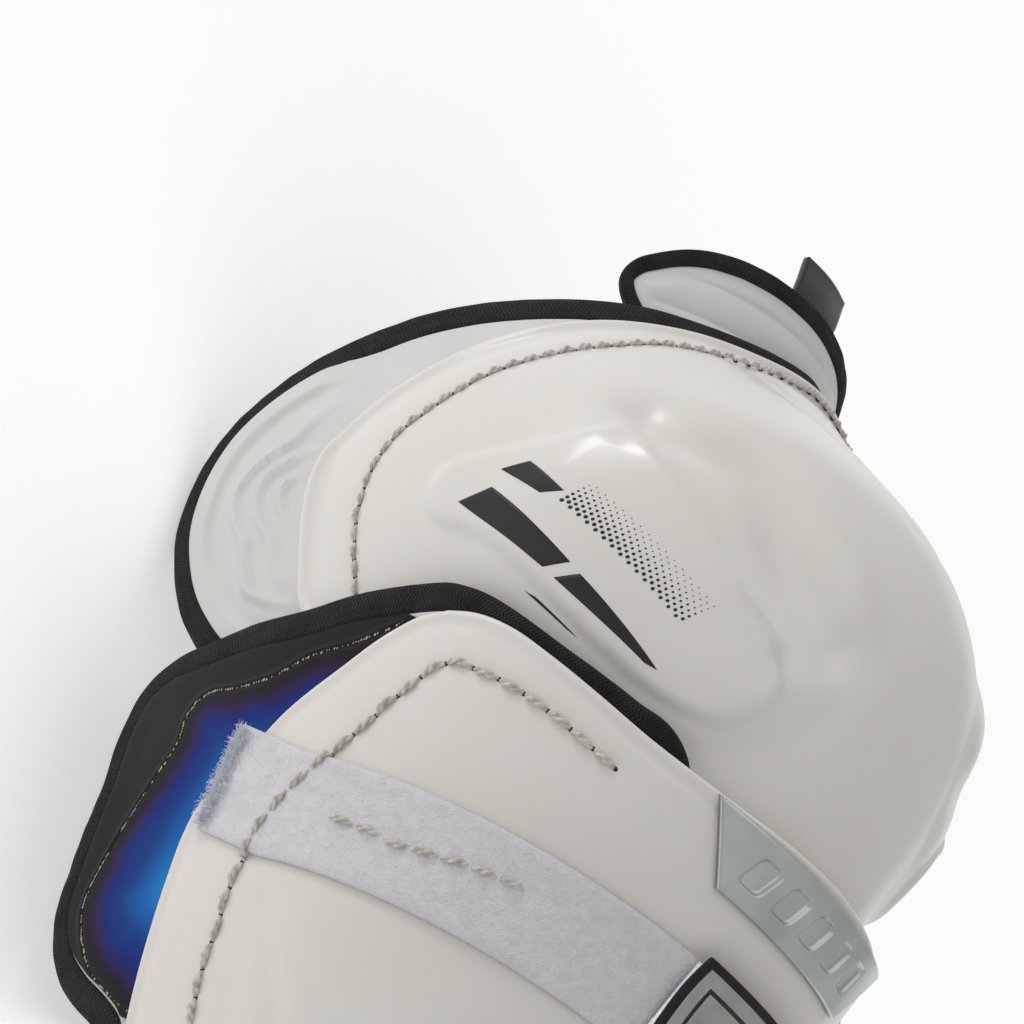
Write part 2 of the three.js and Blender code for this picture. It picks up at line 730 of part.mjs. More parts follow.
// A band of loop tape round the shell
function makeLoopStrip(name, band) {
  const count = Math.round((band.farEnd - band.nearEnd) / bandStep);
  const wraps = evenShares(count).map((share) => THREE.MathUtils.lerp(band.nearEnd, band.farEnd, share));
  const middle = (wrap) => THREE.MathUtils.lerp(band.front, band.near, Math.min(wrap * wrap, 1));
  const rows = [-0.5, 0, 0.5].map((across) => wraps.map((wrap) => {
    const height = shinHeight(middle(wrap)) + across * loopWidth;
    return { wrap, at: shinPlace(height) };
  }));
  const lift = gap * 1.5;
  const face = (off) => onSurface(rows, (spot) => shinPoint(spot.wrap, spot.at, off));
  return piece(name, closedSheet(face(lift + loopThick), face(lift), false), loopPile);
}

// How the guard lies: the lean about X at which knee end and ankle end both touch the floor,
// and the floor's height under the leaned guard
function restPose(meshes) {
  const points = [];
  for (const mesh of meshes) {
    const position = mesh.geometry.getAttribute('position');
    for (let index = 0; index < position.count; index += 1) {
      points.push({ y: position.getY(index), z: position.getZ(index) });
    }
  }
  const height = (point, lean) => point.y * Math.sin(lean) + point.z * Math.cos(lean);
  const lowest = (list, lean) => Math.min(...list.map((point) => height(point, lean)));
  const kneeEnd = points.filter((point) => point.y > -wingReach);
  const ankleEnd = points.filter((point) => point.y <= -wingReach);
  let low = 0;
  let high = Math.PI / 4;
  for (let round = 0; round < 40; round += 1) {
    const middle = (low + high) / 2;
    if (lowest(kneeEnd, middle) < lowest(ankleEnd, middle)) {
      low = middle;
    } else {
      high = middle;
    }
  }
  return { lean: low, floor: lowest(points, low) };
}

// A point over the floor, in the guard's axes. height is where along the shin the middle line
// meets the floor, aside a distance from it along the floor, and up a height above the floor.
function floorPoint(across, height, aside, up, rest) {
  const cos = Math.cos(rest.lean);
  const sin = Math.sin(rest.lean);
  const along = height / cos - rest.floor * sin / cos + aside;
  const level = rest.floor + up;
  return new THREE.Vector3(across, along * cos + level * sin, level * cos - along * sin);
}

// The middle line of a strap: sewn on near the rear edge, down to the floor, flat along it,
// round the far rear edge and over the front. Each station gives a point for a distance aside.
function strapStations(route, rest) {
  const half = strapThick / 2;
  const onForm = (wrap, at, off) => (aside) => (
    shinPoint(wrap, shinPlace(shinHeight(at) + aside), off)
  );
  const sewnOff = padOff + bindingWall + 2 * gap + half;
  const sideOff = 3 * gap + half;
  const topOff = 4 * gap + loopThick + half;
  const stations = [0, 0.05, 0.1].map((past) => onForm(route.sewnWrap - past, route.sewn, sewnOff));
  const turn = shinPoint(route.rearWrap, route.rear, sideOff);
  const flatEnd = turn.x - strapDrop;
  for (const share of evenShares(5)) {
    const across = THREE.MathUtils.lerp(flatStart, flatEnd, share);
    const at = THREE.MathUtils.lerp(route.sewn, route.rear, 0.2 + 0.8 * share);
    stations.push((aside) => floorPoint(across, shinHeight(at), aside, half, rest));
  }
  const farCount = Math.ceil((route.rearWrap - route.tip) / bandStep);
  for (const share of evenShares(farCount)) {
    const wrap = THREE.MathUtils.lerp(route.rearWrap, route.tip, share);
    const climb = THREE.MathUtils.smoothstep(wrap, 0.3, route.rearWrap);
    const at = THREE.MathUtils.lerp(route.front, route.rear, climb);
    const lift = THREE.MathUtils.smoothstep(wrap, 0.75, 0.95);
    stations.push(onForm(wrap, at, THREE.MathUtils.lerp(topOff, sideOff, lift)));
  }
  return stations;
}

// A strap as a closed sheet along its stations, smoothed between them
function makeStrap(name, route, rest) {
  const stations = strapStations(route, rest);
  const asides = [-strapWidth / 2, 0, strapWidth / 2];
  const lines = asides.map((aside) => stations.map((station) => station(aside)));
  const normals = lines[1].map((point, index) => {
    const before = lines[1][Math.max(index - 1, 0)];
    const after = lines[1][Math.min(index + 1, stations.length - 1)];
    const along = new THREE.Vector3().subVectors(after, before);
    const across = new THREE.Vector3().subVectors(lines[2][index], lines[0][index]);
    return along.cross(across).normalize();
  });
  const shifted = (sign) => lines.map((line) => line.map((point, index) => (
    point.clone().addScaledVector(normals[index], sign * strapThick / 2)
  )));
  return piece(name, closedSheet(shifted(1), shifted(-1), false), strapElastic);
}

// The tab at a strap's end, a stiff patch that hooks on the loop strip
function makeHookTab(name, route) {
  const bottom = 4 * gap + loopThick + strapThick + gap;
  const tabWrap = tabLength / shinQuarter;
  const wraps = evenShares(6).map((share) => route.tip + share * tabWrap);
  const reach = strapWidth + tabLap;
  const rows = [-0.5, 0, 0.5].map((across) => wraps.map((wrap) => (
    { wrap, at: shinPlace(shinHeight(route.front) + across * reach) }
  )));
  const face = (off) => onSurface(rows, (spot) => shinPoint(spot.wrap, spot.at, off));
  return piece(name, closedSheet(face(bottom + strapThick), face(bottom), false), tabGrey);
}

// Sets the leaned guard on the floor with the middle of its box over the origin
function setDown(group, rest) {
  group.rotation.x = rest.lean;
  group.updateMatrixWorld(true);
  const box = new THREE.Box3().setFromObject(group, true);
  const centre = box.getCenter(new THREE.Vector3());
  group.position.set(-centre.x, -centre.y, -rest.floor);
}

function buildGuard() {
  const body = [
    makeKneeCap(),
    makeKneePad(),
    makeKneePadBinding(),
    makeThighFlap(),
    makeThighFlapBinding(),
    makePullTab(),
    makeShell(),
    makeNamePlate(),
    makeShinPad(),
    makeShinPadBinding(),
    makeWingPanel('wing_panel_near', -1),
    makeWingPanel('wing_panel_far', 1),
    makeLoopStrip('loop_strip_upper', upperBand),
    makeLoopStrip('loop_strip_lower', lowerBand),
  ];
  const rest = restPose(body);
  const straps = [
    makeStrap('calf_strap_upper', upperStrap, rest),
    makeStrap('calf_strap_lower', lowerStrap, rest),
    makeHookTab('hook_tab_upper', upperStrap),
    makeHookTab('hook_tab_lower', lowerStrap),
  ];
  const group = new THREE.Group();
  group.add(...body, ...straps);
  setDown(group, rest);
  return group;
}

export default buildGuard();
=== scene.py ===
"""A shin guard with a knee cap, lying on its back: hard white shells over bound foam pads.

Everything is worked out on two forms, one for the shin and one for the tilted knee, in
millimetres along the guard's own axes (X across, Y up the shin, Z to the front, origin at the
middle of the name plate), then leaned and set down in the shared frame in metres.
"""

import logging
import math
from dataclasses import dataclass, field
from enum import Enum
from typing import Any, Callable, Sequence

import bpy
import numpy as np
from mathutils import Matrix

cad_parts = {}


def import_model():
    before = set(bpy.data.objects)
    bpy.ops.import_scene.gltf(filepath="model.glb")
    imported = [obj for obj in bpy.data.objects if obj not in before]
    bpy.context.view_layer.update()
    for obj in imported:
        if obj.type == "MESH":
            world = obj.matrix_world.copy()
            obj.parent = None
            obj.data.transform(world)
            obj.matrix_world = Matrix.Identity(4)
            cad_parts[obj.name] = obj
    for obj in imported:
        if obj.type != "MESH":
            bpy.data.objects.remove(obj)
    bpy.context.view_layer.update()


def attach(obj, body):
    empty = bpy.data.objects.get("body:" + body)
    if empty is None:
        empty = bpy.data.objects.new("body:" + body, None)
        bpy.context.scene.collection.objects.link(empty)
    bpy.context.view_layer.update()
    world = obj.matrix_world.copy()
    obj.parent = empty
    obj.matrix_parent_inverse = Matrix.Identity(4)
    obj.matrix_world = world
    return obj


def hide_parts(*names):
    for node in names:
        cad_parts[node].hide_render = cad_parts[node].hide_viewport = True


LOG = logging.getLogger("shin_guard")
Array = np.ndarray
Surface = Callable[[Array, Array, Any], Array]
MM = 0.001
QUARTER = np.pi / 2


class Side(Enum):
    """The side of the leg that a piece lies on."""

    NEAR = -1
    FAR = 1


class Slot(Enum):
    """The record's material slots."""

    SHELL = "shell"
    FOAM = "foam"
    BINDING = "binding"
    SATIN = "satin"
    PLATE = "plate"
    FILM = "film"
    LOOP = "loop"
    ELASTIC = "elastic"
    TAB = "tab"


# ---- number helpers ----


def smoothstep(low: float, high: float, x: Array) -> Array:
    """0 below low, 1 above high, and a smooth S between them."""
    share = np.clip((np.asarray(x, float) - low) / (high - low), 0, 1)
    return share * share * (3 - 2 * share)


def bump(x: Array, centre: float, width: float) -> Array:
    """A bell of height 1 at centre, exp(-(x - centre)^2 / width^2)."""
    return np.exp(-(((np.asarray(x, float) - centre) / width) ** 2))


def ripple(points: Array, scale: float, seed: int = 1) -> Array:
    """Soft seeded unevenness: a mean of sines along nine fixed directions.

    Args:
        points: places in mm, last axis of size 3.
        scale: rough wavelength in mm.
        seed: picks the directions and phases.

    Returns:
        Values from about -1 to 1, one for each place.
    """
    rng = np.random.default_rng(seed)
    ways = rng.normal(size=(9, 3))
    ways *= (2 * np.pi / scale) * rng.uniform(0.6, 1.6, (9, 1)) / np.linalg.norm(ways, axis=1)[:, None]
    phases = rng.uniform(0, 2 * np.pi, 9)
    return np.sin(points @ ways.T + phases).sum(axis=-1) / 4.5


@dataclass
class Track:
    """A table of given values along one direction, read as a smooth curve.

    The curve is a cubic through the rows whose slope at a row is the weighted mean of the
    slopes beside it, and is then softened over a short stretch.
    """

    at: Sequence[float]
    values: Sequence[float]
    soften: float = 0.02

    def __post_init__(self) -> None:
        """Works the curve out once, at closely spaced places."""
        at = np.asarray(self.at, float)
        values = np.asarray(self.values, float)
        if at[0] > at[-1]:
            at, values = at[::-1], values[::-1]
        step = np.diff(at)
        rise = np.diff(values) / step
        between = (rise[:-1] * step[1:] + rise[1:] * step[:-1]) / (step[1:] + step[:-1])
        slope = np.concatenate([[rise[0]], between, [rise[-1]]])
        self.x = np.linspace(at[0], at[-1], 3000)
        low = np.clip(np.searchsorted(at, self.x, side="right") - 1, 0, len(at) - 2)
        span = step[low]
        s = (self.x - at[low]) / span
        y = (2 * s**3 - 3 * s**2 + 1) * values[low] + (3 * s**2 - 2 * s**3) * values[low + 1]
        y += (s**3 - 2 * s**2 + s) * span * slope[low] + (s**3 - s**2) * span * slope[low + 1]
        reach = max(int(self.soften / (self.x[1] - self.x[0])), 1)
        ends = np.arange(1, reach + 1)
        head = y[0] - (y[ends] - y[0])[::-1]
        tail = y[-1] + (y[-1] - y[-1 - ends])
        self.y = np.convolve(np.concatenate([head, y, tail]), bell(reach), mode="valid")

    def __call__(self, place: Array) -> Array:
        """The curve's value at each place, held at its ends."""
        return np.interp(place, self.x, self.y)


def bell(reach: int) -> Array:
    """Weights exp(-x^2) for x from -2 to 2 over 2 * reach + 1 places, which add up to 1."""
    weights = np.exp(-np.linspace(-2, 2, 2 * reach + 1) ** 2)
    return weights / weights.sum()


def run_along(points: Array) -> Array:
    """The length in mm from a line's first point to each of its points."""
    return np.concatenate([[0], np.cumsum(np.linalg.norm(np.diff(points, axis=0), axis=-1))])


def read_at(places: Array, run: Array, rows: Array) -> Array:
    """A table's rows read between, at places along the run: straight lines in each column."""
    return np.stack([np.interp(places, run, column) for column in rows.T], axis=-1)


def columns(rows: Sequence[Sequence[float]]) -> list[Array]:
    """The columns of a table of rows."""
    return list(np.asarray(rows, float).T)


FINE_PLACES = 4000
FEW_POINTS = 100


def evened(points: Array, count: int, scale: Array, closed: bool, soften: float = 0) -> Array:
    """An outline taken again at even distances, with its corners eased.

    A short table is read as a smooth curve first, and a long one as straight steps. The corners
    are eased by a moving mean with bell weights.

    Args:
        points: rows of (wrap, at).
        count: how many places to return.
        scale: millimetres for one wrap and one at.
        closed: whether the outline joins up.
        soften: length in mm over which corners are eased.

    Returns:
        count rows of (wrap, at).
    """
    line = np.vstack([points, points[:1]]) if closed else np.asarray(points, float)
    run = run_along(line * scale)
    fine = np.linspace(0, run[-1], FINE_PLACES, endpoint=not closed)
    if len(points) > FEW_POINTS:
        dense = read_at(fine, run, line)
    else:
        lap = 3 if closed else 0
        stops = np.concatenate([run[-1 - lap : -1] - run[-1], run, run[-1] + run[1 : 1 + lap]])
        knots = np.vstack([line[-1 - lap : -1], line, line[1 : 1 + lap]])
        dense = np.stack([Track(stops, column, 0.5)(fine) for column in knots.T], axis=1)
    reach = int(soften / (run[-1] / FINE_PLACES))
    if reach > 0:
        if closed:
            padded = np.vstack([dense[-reach:], dense, dense[:reach]])
        else:
            head = 2 * dense[0] - dense[reach:0:-1]
            padded = np.vstack([head, dense, 2 * dense[-1] - dense[-2 : -reach - 2 : -1]])
        dense = np.stack([np.convolve(column, bell(reach), mode="valid") for column in padded.T], axis=1)
    again = np.vstack([dense, dense[:1]]) if closed else dense
    length = run_along(again * scale)
    return read_at(np.linspace(0, length[-1], count, endpoint=not closed), length, again)


def inward(loop: Array, scale: Array) -> Array:
    """Steps of (wrap, at) that lead one millimetre into a closed outline.

    Args:
        loop: the outline as (wrap, at), once round.
        scale: millimetres for one wrap and one at.

    Returns:
        One step for each place: the outline's direction there turned a quarter inwards.
    """
    place = loop * scale
    along = np.roll(place, -3, axis=0) - np.roll(place, 3, axis=0)
    along /= np.linalg.norm(along, axis=1)[:, None]
    following = np.roll(place, -1, axis=0)
    turn = np.sign(np.sum(place[:, 0] * following[:, 1] - place[:, 1] * following[:, 0]))
    return np.stack([-along[:, 1] * turn, along[:, 0] * turn], axis=1) / scale


def mirrored_loop(half: Array) -> Array:
    """A closed outline from one half of it, top centre to bottom centre."""
    other = half[1:-1][::-1] * np.array([-1, 1])
    return np.vstack([half, other])


def rings(heart: Sequence[float], loop: Array, count: int, share: float) -> tuple[Array, Array]:
    """Copies of a closed outline shrunk towards its heart.

    Args:
        heart: the place that they shrink to, as (wrap, at).
        loop: the outline as (wrap, at), once round.
        count: how many copies, the outline itself last.
        share: how strongly they crowd towards the outline, from 0 to 1.

    Returns:
        The wraps and ats of heart + (loop - heart) * step, a row for each step, where the
        steps follow a sine from nearly 0 to 1.
    """
    steps = np.sin(np.linspace(0.003, 1, count) * QUARTER * share) / np.sin(QUARTER * share)
    place = np.array(heart) + (loop[None] - heart) * steps[:, None, None]
    return place[..., 0], place[..., 1]


def distance_to(points: Array, line: Array) -> Array:
    """The distance in mm from each point of a grid to the nearest point of a line."""
    flat = points.reshape(-1, 3)
    parts = np.array_split(flat, max(len(flat) // 4000, 1))
    squares = [((part[:, None] - line[None]) ** 2).sum(axis=2).min(axis=1) for part in parts]
    return np.sqrt(np.concatenate(squares)).reshape(points.shape[:-1])


def enclosed(wrap: Array, at: Array, loop: Array) -> Array:
    """Whether each place lies inside a closed outline, by counting the edges it crosses."""
    crossed = np.zeros(wrap.shape, int)
    for (u0, v0), (u1, v1) in zip(loop, np.roll(loop, -1, axis=0)):
        spans = (v0 > at) != (v1 > at)
        crossed += spans & (wrap < u0 + (u1 - u0) * (at - v0) / (v1 - v0 + 1e-12))
    return crossed % 2 == 1


# ---- forms ----


@dataclass(frozen=True)
class RestPose:
    """How the guard lies: leaned about X, then set down on the floor."""

    lean: float = math.radians(16.51025)
    place: tuple[float, float, float] = (0.0, 75.83, 159.26)

    def turn(self) -> Array:
        """The rotation that leans the guard about X."""
        c, s = math.cos(self.lean), math.sin(self.lean)
        return np.array([[1, 0, 0], [0, c, -s], [0, s, c]])

    def to_world(self, points: Array) -> Array:
        """Points in the guard's axes in mm, as shared-frame points in metres."""
        return (points @ self.turn().T + np.array(self.place)) * MM


def section(
    wrap: Array, width: Array, depth: Array, front: Array, curl: Array, off: Array
) -> tuple[Array, Array]:
    """A leg's cross-section: a quarter ellipse to each side, then straight back with a curl.

    Args:
        wrap: the way round, 0 at the front, 1 at the side, more runs straight back.
        width: half the width in mm.
        depth: how far the side lies behind the front.
        front: where the front lies.
        curl: how much the straight part bends inwards, per mm squared.
        off: how far outside the form the place lies.

    Returns:
        across = (width + off) sin(turn) - curl behind^2, with the wrap's sign, and
        forward = front - depth + (depth + off) cos(turn) - behind.
    """
    turn = np.minimum(np.abs(wrap), 1) * QUARTER
    behind = np.maximum(np.abs(wrap) - 1, 0) * depth * QUARTER
    across = (width + off) * np.sin(turn) - curl * behind * behind
    return np.sign(wrap) * across, front - depth + (depth + off) * np.cos(turn) - behind


@dataclass
class ShinForm:
    """The face of the shin's shell. at is 0 at the name plate, 1 at the wings' end, 2 at the foot."""

    half_width: float = 85
    depth: float = 81
    curl: float = 0.0035
    wing_reach: float = 105
    lower_reach: float = 213
    sections: Sequence[Sequence[float]] = (
        (-0.21, 1.024, 1.037, 0.025), (-0.1, 1.012, 1.025, 0.012), (0, 1, 1, 0),
        (0.115, 0.988, 0.975, -0.015), (0.27, 0.965, 0.926, -0.08), (0.476, 0.941, 0.889, -0.099),
        (0.95, 0.871, 0.815, -0.108), (1.21, 0.79, 0.76, -0.108), (1.45, 0.72, 0.72, -0.108),
        (1.68, 0.665, 0.69, -0.108), (1.92, 0.63, 0.675, -0.105), (2.12, 0.615, 0.67, -0.1),
    )
    relief_rows: Sequence[Sequence[float]] = (
        (-0.21, 0), (0, 0.008), (0.115, 0.02), (0.27, 0.012), (0.6, 0), (2.12, 0),
    )

    def __post_init__(self) -> None:
        """Makes the smooth curves of the tables."""
        at, width, depth, front = columns(self.sections)
        self.width_at = Track(at, width)
        self.depth_at = Track(at, depth)
        self.front_at = Track(at, front)
        self.relief_at = Track(*columns(self.relief_rows))
        self.scale = np.array([self.depth * QUARTER, -self.wing_reach])

    def height(self, at: Array) -> Array:
        """Millimetres along the shin for a place."""
        at = np.asarray(at, float)
        return np.where(at < 1, -at * self.wing_reach, -self.wing_reach - (at - 1) * self.lower_reach)

    def place(self, height: Array) -> Array:
        """The place along the shin for a height in mm."""
        past = -np.asarray(height, float) - self.wing_reach
        return np.where(past < 0, 1 + past / self.wing_reach, 1 + past / self.lower_reach)

    def point(self, wrap: Array, at: Array, off: Any = 0.0) -> Array:
        """A point on the form, off mm outside the shell's face."""
        wrap, at = np.broadcast_arrays(np.asarray(wrap, float), np.asarray(at, float))
        x, z = section(
            wrap, self.half_width * self.width_at(at), self.depth * self.depth_at(at),
            self.depth * self.front_at(at), np.asarray(self.curl), off,
        )
        return np.stack([x, self.height(at), z], axis=-1)

    def pad_point(self, wrap: Array, at: Array, off: Any = 0.0) -> Array:
        """The same for the pad, which keeps clear of the shell's step."""
        points = self.point(wrap, at, off)
        back = self.depth * self.relief_at(at)
        points[..., 2] -= back * np.cos(np.minimum(np.abs(wrap), 1) * QUARTER)
        return points


@dataclass
class KneeForm:
    """The face of the knee's cap, tilted back. at is 0 level with the plate, 1 at the cap's top."""

    half_width: float = 77.8
    depth: float = 82
    setback: float = 21
    tilt: float = math.radians(25)
    rise: float = 141
    dome: float = 42
    boss: float = 2.6
    boss_place: float = 0.42
    boss_size: float = 0.3
    flare: float = 0.3
    flare_from: float = 1.035
    sections: Sequence[Sequence[float]] = (
        (-0.115, 0.9, 0.951, -1, 0.17, 3.4, 0.009), (0, 0.92, 0.97, -1, 0.37, 3.4, 0.009),
        (0.14, 0.935, 0.99, -1, 0.66, 3.2, 0.009), (0.284, 0.95, 1, -1, 0.89, 2.1, 0.008),
        (0.425, 0.975, 1, -1, 1, 1.4, 0.0055), (0.567, 0.997, 0.99, -1, 0.96, 1.2, 0.0045),
        (0.709, 0.987, 0.976, -1, 0.75, 1.2, 0.0045), (0.837, 0.96, 0.95, -1.02, 0.37, 1.2, 0.0045),
        (0.908, 0.95, 0.94, -1.04, 0.15, 1.2, 0.0045), (0.98, 0.936, 0.927, -1.05, 0, 1.2, 0.0045),
        (1.03, 0.933, 0.922, -1.06, 0, 1.2, 0.0045), (1.35, 0.91, 0.89, -1.14, 0, 1.2, 0.0045),
    )

    def __post_init__(self) -> None:
        """Makes the smooth curves of the tables."""
        at, *tables = columns(self.sections)
        self.tracks = [Track(at, table, 0.03) for table in tables]
        self.scale = np.array([self.depth * QUARTER, self.rise])

    def boss_rise(self, wrap: Array, at: Array) -> Array:
        """The raised boss on each side of the cap, level inside and smooth at its edge."""
        away = ((np.abs(wrap) - self.boss_place) ** 2 + (at - self.boss_place) ** 2) / self.boss_size**2
        return self.boss * smoothstep(0, 0.5, 1 - away)

    def point(self, wrap: Array, at: Array, off: Any = 0.0, full: float = 1.0) -> Array:
        """A point on the form.

        Args:
            wrap: the way round the knee.
            at: the place along the knee.
            off: mm outside the cap's face without its dome.
            full: how much of the dome and boss is added.

        Returns:
            Points in the guard's axes, the section moved outwards by
            full * cos(turn)^side * (dome + boss) and tilted back.
        """
        wrap, at = np.broadcast_arrays(np.asarray(wrap, float), np.asarray(at, float))
        width, depth, front, dome, side, curl = (track(at) for track in self.tracks)
        x, z = section(wrap, self.half_width * width, self.depth * depth, self.setback * front, curl, off)
        turn = np.minimum(np.abs(wrap), 1) * QUARTER
        fall = np.maximum(np.cos(turn), 1e-9) ** side
        out = full * fall * (self.dome * np.maximum(dome, 0) + self.boss_rise(wrap, at))
        x = x + np.sign(wrap) * out * np.sin(turn)
        z = z + out * np.cos(turn)
        y = at * self.rise
        c, s = math.cos(self.tilt), math.sin(self.tilt)
        return np.stack([x, y * c + z * s, -y * s + z * c], axis=-1)

    def flap_point(self, wrap: Array, at: Array, off: Any = 0.0) -> Array:
        """The flap follows the form without the dome and flares out above the pad's edge."""
        above = np.maximum(np.asarray(at, float) - self.flare_from, 0) * self.rise
        return self.point(wrap, at, off + self.flare * above * above / (above + 6), 0)


REST = RestPose()
SHIN = ShinForm()
KNEE = KneeForm()


def faces_of(rows: int, cols: int, ring: bool) -> Array:
    """Quads of a grid of vertices numbered row by row, joined round when ring is set."""
    wide = cols if ring else cols - 1
    r, c = np.meshgrid(np.arange(rows - 1), np.arange(wide), indexing="ij")
    n = (c + 1) % cols
    quads = np.stack([r * cols + c, r * cols + n, (r + 1) * cols + n, (r + 1) * cols + c], axis=-1)
    return quads.reshape(-1, 4)


def lid(cols: int) -> Array:
    """Quads that close a ring of an even number of vertices, in the ring's own direction."""
    i = np.arange(cols // 2 - 1)
    return np.stack([i, i + 1, cols - 2 - i, cols - 1 - i], axis=1)


def tubes(count: int, rows: int, cols: int) -> Array:
    """Quads of closed tubes numbered one after another.

    Args:
        count: how many tubes.
        rows: rings in a tube.
        cols: vertices in a ring, an even number.

    Returns:
        The rings' quads and a lid at both ends, for each tube.
    """
    ends = [lid(cols)[:, ::-1], lid(cols) + (rows - 1) * cols]
    each = np.concatenate([faces_of(rows, cols, True), *ends])
    return (each[None] + (np.arange(count) * rows * cols)[:, None, None]).reshape(-1, 4)


def enclosed_volume(points: Array, quads: Array) -> float:
    """Six times the volume inside closed quads, below 0 where they face inwards."""
    a, b, c, d = (points[quads[:, k]] for k in range(4))
    return float(np.einsum("ij,ij->", a, np.cross(b, c) + np.cross(c, d)))


@dataclass
class Mesh:
    """A mesh gathered from parts in guard millimetres, then made into one Blender object."""

    name: str
    points: list[Array] = field(default_factory=list)
    quads: list[Array] = field(default_factory=list)
    marks: dict[str, list[Array]] = field(default_factory=dict)
    slots: list[Array] = field(default_factory=list)
    size: int = 0

    def add(self, points: Array, quads: Array, marks: dict[str, Array] | None = None, slot: int = 0) -> None:
        """Adds a closed solid, or many alike, and turns its faces outwards.

        Args:
            points: vertices in mm, rows of 3.
            quads: faces, numbered from 0 within these vertices.
            marks: named values, one for each vertex.
            slot: the material slot of the faces.
        """
        self.points.append(points.reshape(-1, 3))
        if enclosed_volume(self.points[-1], quads) < 0:
            quads = quads[:, ::-1]
        self.quads.append(quads + self.size)
        self.slots.append(np.full(len(quads), slot))
        for key, values in (marks or {}).items():
            self.marks.setdefault(key, []).append(np.asarray(values, float).reshape(-1))
        self.size += len(self.points[-1])

    def sheet(self, outer: Array, inner: Array, ring: bool, marks: dict[str, Array] | None = None) -> None:
        """Closes two matching grids into one solid: both faces and a wall round the edge.

        Args:
            outer: the grid of the outside's points in mm.
            inner: the grid of the inside's points.
            ring: whether a row closes round, its first row then being the heart.
            marks: named values, one for each place of the grid.
        """
        rows, cols = outer.shape[:2]
        count = rows * cols
        front = faces_of(rows, cols, ring)
        back = front[:, ::-1] + count
        at = lambda r, c: r * cols + c
        if ring:
            c = np.arange(cols)
            edges = [(at(rows - 1, c), at(rows - 1, (c + 1) % cols))]
        else:
            c, r = np.arange(cols - 1), np.arange(rows - 1)
            edges = [
                (at(rows - 1, c), at(rows - 1, c + 1)), (at(0, c + 1), at(0, c)),
                (at(r, 0), at(r + 1, 0)), (at(r + 1, cols - 1), at(r, cols - 1)),
            ]
        walls = [np.stack([a, a + count, b + count, b], axis=1)[:, ::-1] for a, b in edges]
        if ring:
            walls += [lid(cols)[:, ::-1], lid(cols) + count]
        both = {key: np.concatenate([values.reshape(-1)] * 2) for key, values in (marks or {}).items()}
        points = np.concatenate([outer.reshape(-1, 3), inner.reshape(-1, 3)])
        self.add(points, np.concatenate([front, back, *walls]), both)

    def line_back(self, outer: Array, ring: bool) -> None:
        """Gives the inside of the one sheet made so far the second material."""
        half = (outer.shape[0] - 1) * (outer.shape[1] - (not ring))
        self.slots[0][half : 2 * half] = 1

    def build(
        self, finishes: Sequence["Finish"], node: str | None, slot: Slot, uv: tuple[str, str] | None = None
    ) -> Any:
        """Makes the object.

        Args:
            finishes: a material for each slot of the faces.
            node: the solid that it stands for, or None.
            slot: the record's slot that it belongs to; not used.
            uv: the two marks that make its UV map, in mm.

        Returns:
            The Blender object, smooth shaded, faces outwards.
        """
        data = bpy.data.meshes.new(self.name)
        points = REST.to_world(np.concatenate(self.points))
        points[:, 2] = np.maximum(points[:, 2], 0)
        quads = np.concatenate(self.quads)
        data.vertices.add(len(points))
        data.vertices.foreach_set("co", points.astype(np.float32).ravel())
        data.loops.add(quads.size)
        data.loops.foreach_set("vertex_index", quads.astype(np.int32).ravel())
        data.polygons.add(len(quads))
        data.polygons.foreach_set("loop_start", np.arange(0, quads.size, 4, dtype=np.int32))
        data.polygons.foreach_set("material_index", np.concatenate(self.slots).astype(np.int32))
        data.update(calc_edges=True)
        data.validate()
        for key, values in self.marks.items():
            if uv and key in uv:
                continue
            mark = data.attributes.new(key, "FLOAT", "POINT")
            mark.data.foreach_set("value", np.concatenate(values).astype(np.float32))
        if uv:
            layer = data.uv_layers.new(name="weave")
            corner = np.empty(len(data.loops), np.int32)
            data.loops.foreach_get("vertex_index", corner)
            both = np.stack([np.concatenate(self.marks[key])[corner] for key in uv], axis=1) * MM
            layer.data.foreach_set("uv", both.astype(np.float32).ravel())
        data.polygons.foreach_set("use_smooth", np.ones(len(data.polygons), bool))
        piece = bpy.data.objects.new(self.name, data)
        bpy.context.scene.collection.objects.link(piece)
        for finish in finishes:
            data.materials.append(finish.material())
        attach(piece, "root")
        if node:
            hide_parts(node)
        LOG.info("%s: %d faces", self.name, len(data.polygons))
        return piece


def outward_of(surface: Surface, wrap: Array, at: Array) -> Array:
    """Unit vectors square to a surface, pointing out of it.

    Args:
        surface: gives a point for wrap, at and the distance off it.
        wrap: the places' wraps.
        at: the places' ats.

    Returns:
        The cross product of small steps in wrap and at, of length 1.
    """
    step = 1e-3
    across = surface(wrap + step, at, 0.0) - surface(wrap - step, at, 0.0)
    along = surface(wrap, at + step, 0.0) - surface(wrap, at - step, 0.0)
    normal = np.cross(across, along)
    normal /= np.linalg.norm(normal, axis=-1)[..., None]
    out = surface(wrap, at, 1.0) - surface(wrap, at, 0.0)
    return normal * np.sign((normal * out).sum(axis=-1))[..., None]


def grid_normals(points: Array) -> Array:
    """Unit normals of a grid of points from its central differences."""
    normal = np.cross(np.gradient(points, axis=0), np.gradient(points, axis=1))
    return normal / np.maximum(np.linalg.norm(normal, axis=-1)[..., None], 1e-9)


# ---- finishes ----


def linear(colour: str) -> tuple[float, float, float, float]:
    """An sRGB hex colour as linear red, green, blue and alpha."""
    parts = [int(colour[i : i + 2], 16) / 255 for i in (1, 3, 5)]
    return (*(c / 12.92 if c <= 0.04045 else ((c + 0.055) / 1.055) ** 2.4 for c in parts), 1.0)


